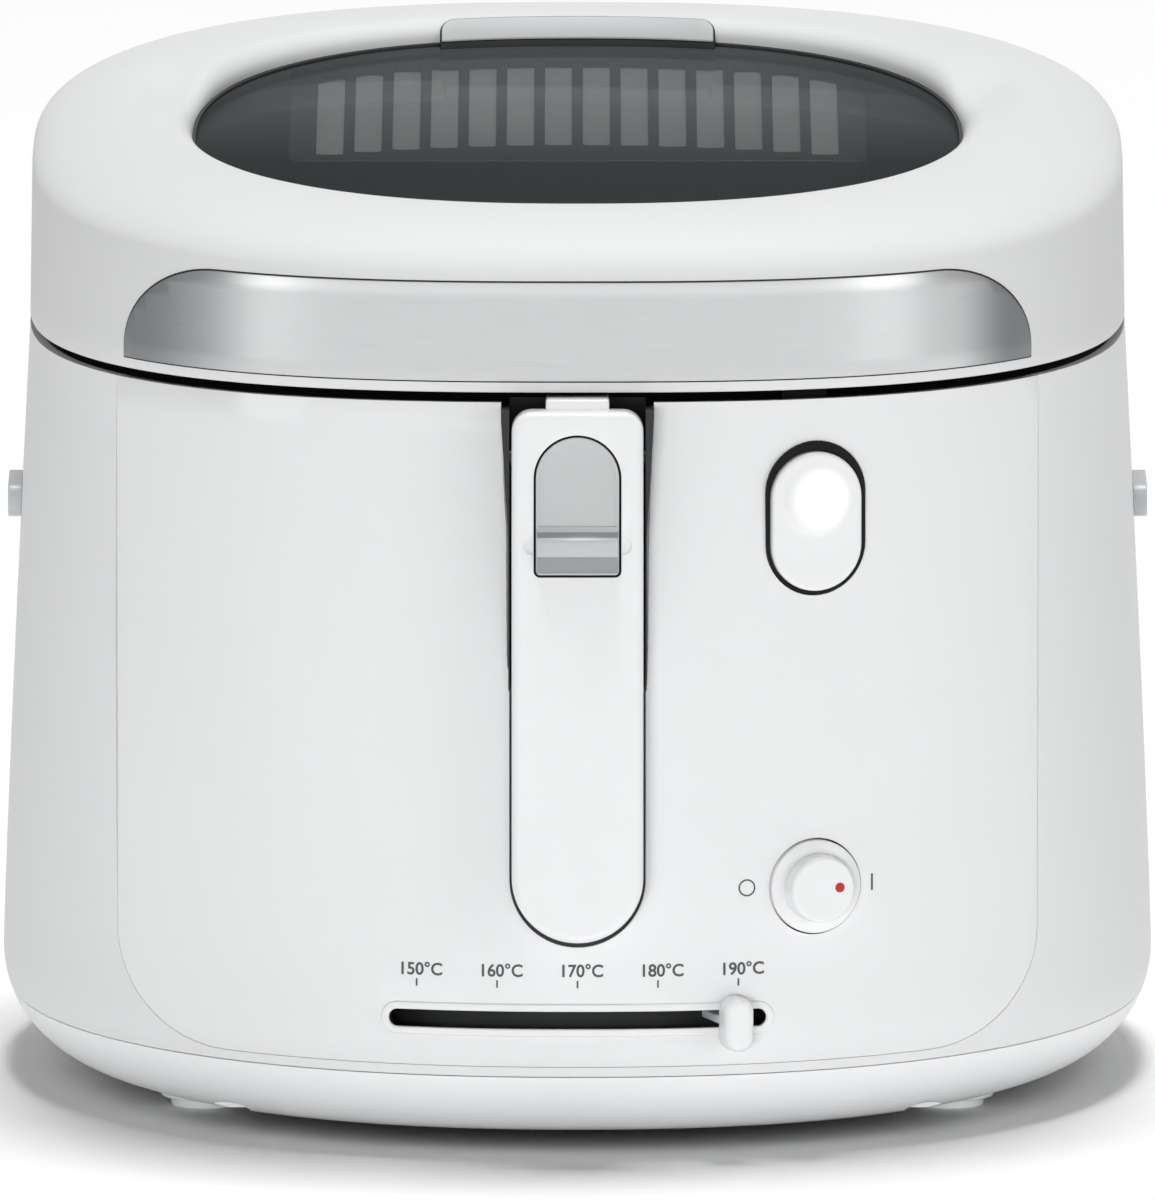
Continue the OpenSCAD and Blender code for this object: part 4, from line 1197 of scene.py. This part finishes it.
# %% [markdown]
# The lever's knob is a rounded block that rides in front of the slot. It is drawn about the shaft
# that it really turns round, and then turned to the end mark. From there its joint carries it
# along the slot.

# %% Lever knob
MARK_X, LEVER_R = 41.0, 112.0          # the end mark, and the knob's way from the shaft
LEVER_OUT = 5.3
TIP_W, TIP_H, TIP_D, TIP_R, TIP_DROP = 7.9, 14.3, 7.9, 3.8, 0.6
TIP_FRONT = -LEVER_R - 4
lever_y = front_point(MARK_X, SLOT_Z).y - LEVER_OUT + math.sqrt(LEVER_R ** 2 - MARK_X ** 2)
lever_place = Matrix.Translation(Vector((0, lever_y, SLOT_Z)) * MM) \
    @ Matrix.Rotation(math.asin(MARK_X / LEVER_R), 4, "Z")
tip = slab("lever_knob_cap", round_box(TIP_W, TIP_H, TIP_R, 0, -TIP_DROP), TIP_FRONT,
           TIP_FRONT + TIP_D)
bevel(tip, 2.5, 6)
settle(tip, lever_place)
finish_piece(tip, "lever", white_satin, ["lever_knob"])

# %% [markdown]
# A thin curved strip on the lever keeps the slot closed at every setting, since one would see
# into the housing without it. It starts flat, with its length counted in degrees of turn, so a
# short function can bend it round the shaft.

# %% Strip behind the slot
STRIP_R, STRIP_TURN, STRIP_UP = 97.0, 52, 3.6


def round_shaft(turn, y, z):
    t = math.radians(turn)
    return -y * math.sin(t), y * math.cos(t), z


strip = slab("lever_slot_strip", [(-STRIP_TURN, -STRIP_UP), (STRIP_TURN, -STRIP_UP),
                                  (STRIP_TURN, STRIP_UP), (-STRIP_TURN, STRIP_UP)],
             -STRIP_R, 1 - STRIP_R)
slice_between(strip, 0, -STRIP_TURN, STRIP_TURN, 3)
reshape(strip, round_shaft)
settle(strip, lever_place)
finish_piece(strip, "lever", seal_rubber)

# %% [markdown]
# ## Printed marks
# The scale has plain numbers and ticks, and the knob an O and an I. They are pad printed, so they
# follow the panel's curve. Each is made flat, a few hundredths of a millimetre thick, and bent
# on.

# %% Printed marks
INK_T = 0.05
BOLD, NARROW = 0.095, 0.98             # stroke and width of the figures


def print_on_panel(piece):
    bend(piece, front_point)
    tidy(piece, 0.001)
    finish_piece(piece, "root", ink_grey, angle=80)


def printed_text(name, text, x, z, size):
    """Text on the panel, its letters upright and centred on x, with their foot at z."""
    bpy.ops.object.text_add()
    piece = bpy.context.object
    piece.name = name
    piece.data.body = text
    piece.data.align_x = "CENTER"
    piece.data.size = size
    piece.data.extrude = INK_T
    piece.data.offset = BOLD
    bpy.ops.object.convert(target="MESH")
    for vertex in piece.data.vertices:
        px, py, pz = vertex.co
        vertex.co = ((x + px * NARROW) * MM, -pz * MM, (z + py) * MM)
    piece.data.update()
    return piece


def printed_bar(name, width, height, x, z):
    print_on_panel(slab(name, at(round_box(width, height, 0.15), x, z), -INK_T, INK_T))


SCALE_STEP, SCALE_SIZE = 20.8, 4.5
NUMBER_Z, TICK_Z, TICK_H, TICK_W = 48.4, 46.4, 2.0, 0.45
NUMBER_SHIFT = 1.0                     # the numbers hang a little to the right of their ticks
for i, degrees in enumerate(range(150, 200, 10)):
    x = (i - 2) * SCALE_STEP
    print_on_panel(printed_text(f"scale_{degrees}", f"{degrees}°C", x + NUMBER_SHIFT, NUMBER_Z,
                                SCALE_SIZE))
    printed_bar(f"tick_{degrees}", TICK_W, TICK_H, x, TICK_Z)

# %% [markdown]
# The O is a disc with a smaller one cut out of it, and the I is a plain bar. The panel curves
# away there, so the O is drawn a little narrower, and bending brings it back to a true circle.

# %% Marks of the power knob
MARK_O_X, MARK_I_X, MARK_R, MARK_W = 43.8, 76.2, 2.25, 0.42
MARK_O_Z, MARK_I_Z = KNOB_Z + 0.4, KNOB_Z + 0.1
off_mark = slab("mark_off", on_side(circle(MARK_R, 48), MARK_O_X, MARK_O_Z), -INK_T, INK_T)
punch(off_mark, on_side(circle(MARK_R - MARK_W, 48), MARK_O_X, MARK_O_Z), -2, 2)
print_on_panel(off_mark)
printed_bar("mark_on", 0.5, 4.4, MARK_I_X, MARK_I_Z)

# %% [markdown]
# ## Parts that keep their CAD shape
# Many parts are right as they are, but real edges are never perfectly sharp. For these a copy of
# the CAD mesh is merged, its flat triangles are joined to whole faces, and its edges get a small
# bevel that catches the light. The copy stands for the node. Some copies are also reshaped a
# little, so that they fit the finer pieces round them.


# %% Refined copies
def refined(node_name, body, material, edge=0.3, segments=2, shape=None, slices=()):
    """A bevelled copy of a CAD node. slices are the heights that it is sliced at, and shape a
    function that moves its points."""
    only(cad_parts[node_name])
    bpy.ops.object.duplicate()
    piece = bpy.context.object
    piece.name = node_name + "_refined"
    in_edit(piece, (bpy.ops.mesh.remove_doubles, {"threshold": 0.004 * MM}),
            (bpy.ops.mesh.dissolve_limited, {"angle_limit": math.radians(0.6)}))
    if slices:
        slice_up(piece, 2, slices)
    if shape:
        reshape(piece, shape)
    if edge:
        bevel(piece, edge, segments, angle=40)
    finish_piece(piece, body, material, [node_name])


# %% [markdown]
# The cheeks of the channel narrow with it, and the handle's pin ends inside them. The pads of the
# feet are a little wider than in the CAD. The lid's inner panel is lowered to stay clear of the
# glass. The side grips keep their shape, and their edges are well rounded for the hand.


# %% Copies with a shape or a rounding of their own
CHEEK_THIN = 0.12                      # share of a cheek's thickness that stays at its foot
PIN_SHARE = 0.92
FOOT_X, FOOT_Y, FOOT_WIDER = 97.7, 78.1, 1.3
PANEL_TOP, PANEL_SINK = 226.0, 4.5     # the panel's points above this height sink this much


def taper_cheeks(x, y, z):
    low, high = CHANNEL_TAPER
    share = min(1.0, max(CHEEK_THIN, (z - low) / (high - low)))
    if abs(x) > CHANNEL_X + 0.05 and y < front_point(0, z).y + 6:
        x = math.copysign(CHANNEL_X + (abs(x) - CHANNEL_X) * share, x)
    return x, y, z


def wider_foot(x, y, z):
    centre = Vector((math.copysign(FOOT_X, x), math.copysign(FOOT_Y, y), z))
    return centre + (Vector((x, y, z)) - centre) * FOOT_WIDER


def sunk_top(x, y, z):
    return x, y, z - (PANEL_SINK if z > PANEL_TOP else 0)


refined("handle_channel", "root", dark_plastic, 0, shape=taper_cheeks,
        slices=steps_between(124, 194, 5))
refined("feet", "root", foot_rubber, 0.6, 3, shape=wider_foot)
refined("handle_pin", "root", steel, shape=lambda x, y, z: (x * PIN_SHARE, y, z))
refined("side_grips", "root", pale_grey, 1.2, 4)
refined("lid_inner_panel", "lid", dark_plastic, shape=sunk_top)

# %% [markdown]
# The rest need only a bevel, between 0.3 and 0.5 mm wide. It is widest on thick mouldings and
# narrowest on sheet metal.

# %% Plain copies
for node_name, body, material, slot_name, edge in (
        ("rim_collar", "root", dark_plastic, "dark_plastic", 0.4),
        ("cord_gland", "root", dark_plastic, "dark_plastic", 0.5),
        ("hinge_bracket", "root", white_housing, "white_housing", 0.4),
        ("oil_bowl", "root", nonstick, "nonstick", 0.3),
        ("hinge_pin", "root", steel, "steel", 0.4),
        ("lid_hinge_arms", "lid", white_housing, "white_housing", 0.5),
        ("lid_gasket", "lid", seal_rubber, "seal_rubber", 0.4),
        ("lid_screws", "lid", steel, "steel", 0.3),
        ("basket_rim", "basket", steel, "steel", 0.4),
        ("basket_bracket", "basket", steel, "steel", 0.3),
        ("temperature_lever", "lever", pale_grey, "grey_plastic", 0.3)):
    refined(node_name, body, material, edge)

# %% [markdown]
# The parts that nobody sees without a screwdriver keep their CAD mesh just as it is. They only
# get the finish of what they are made of.

# %% Finishes of the inner CAD parts
INNER = (
    (steel, ["base_screws", "bowl_posts", "heating_element", "thermal_fuse", "switch_bracket",
             "release_spring", "unlock_spring"]),
    (dark_steel, ["lid_catch", "latch_hook"]),
    (ceramic, ["thermostat", "terminal_block"]),
    (dark_plastic, ["power_switch"]),
    (grey_plastic, ["bottom_plate", "release_guide"]))
for material, names in INNER:
    for name in names:
        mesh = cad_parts[name].data
        mesh.materials.clear()
        mesh.materials.append(material)
    print(material.name, "on", ", ".join(names))

# %% [markdown]
# ## Wire basket
# The basket is woven from stainless wire. The uprights run down the wall and turn in to the floor
# ring; hoops cross them; a grid of straight wires fills the floor. Each wire is a thin tube round
# a path. All the paths are worked out from the basket's outline, so they stay inside its CAD
# solid.

# %% Wire basket
BASKET_A, BASKET_B, BASKET_N = 98.0, 112.0, 2.5
BASKET_Z, BASKET_H = 70.0, 82.0
WIRE_R = 0.6
# Inset and height of the basket's wall, from the floor up to the rim
WALL_LINE = [(24, 0), (14, 2), (8, 9), (5, 30), (0, BASKET_H)]
UPRIGHTS, HOOPS, FLOOR_PITCH = 96, 12, 7.5


def wall_at(height):
    """The wall's inset at a height above the floor."""
    for (in0, h0), (in1, h1) in zip(WALL_LINE, WALL_LINE[1:]):
        if height <= h1:
            return mix(in0, in1, (height - h0) / (h1 - h0))
    return WALL_LINE[-1][0]


def basket_point(turn, inset, height):
    inset += WIRE_R
    x, y = oval_point(BASKET_A - inset, BASKET_B - inset, BASKET_N, turn)
    return Vector((x, y, BASKET_Z + height))


paths = []
for i in range(UPRIGHTS):
    turn = 360 * (i + 0.5) / UPRIGHTS
    paths.append(([basket_point(turn, inset, height + WIRE_R) for inset, height in WALL_LINE],
                  False))
for k in range(1, HOOPS):
    height = BASKET_H * k / HOOPS
    paths.append(([basket_point(t, wall_at(height) + 0.7, height) for t in range(0, 360, 4)], True))
FLOOR_A, FLOOR_B = BASKET_A - 15, BASKET_B - 15
for half, other, swap in ((FLOOR_A, FLOOR_B, False), (FLOOR_B, FLOOR_A, True)):
    count = int(half / FLOOR_PITCH)
    for k in range(-count, count + 1):
        u = k * FLOOR_PITCH
        reach = other * (1 - (abs(u) / half) ** BASKET_N) ** (1 / BASKET_N)
        z = BASKET_Z + WIRE_R * (3 if swap else 1.2)
        ends = [Vector((-reach, u, z)) if swap else Vector((u, -reach, z)),
                Vector((reach, u, z)) if swap else Vector((u, reach, z))]
        paths.append((ends, False))

bpy.ops.curve.primitive_bezier_curve_add()
wires = bpy.context.object
wires.name = "basket_wires"
wires.data.splines.clear()
for points, ring_shaped in paths:
    spline = wires.data.splines.new("POLY")
    spline.points.add(len(points) - 1)
    for target, point in zip(spline.points, points):
        target.co = (*(point * MM), 1)
    spline.use_cyclic_u = ring_shaped
wires.data.dimensions = "3D"
wires.data.bevel_depth = WIRE_R * MM
wires.data.bevel_resolution = 1
wires.data.use_fill_caps = True
only(wires)
bpy.ops.object.convert(target="MESH")
tidy(wires, 0.001)
finish_piece(wires, "basket", steel, ["basket_mesh"], angle=60)
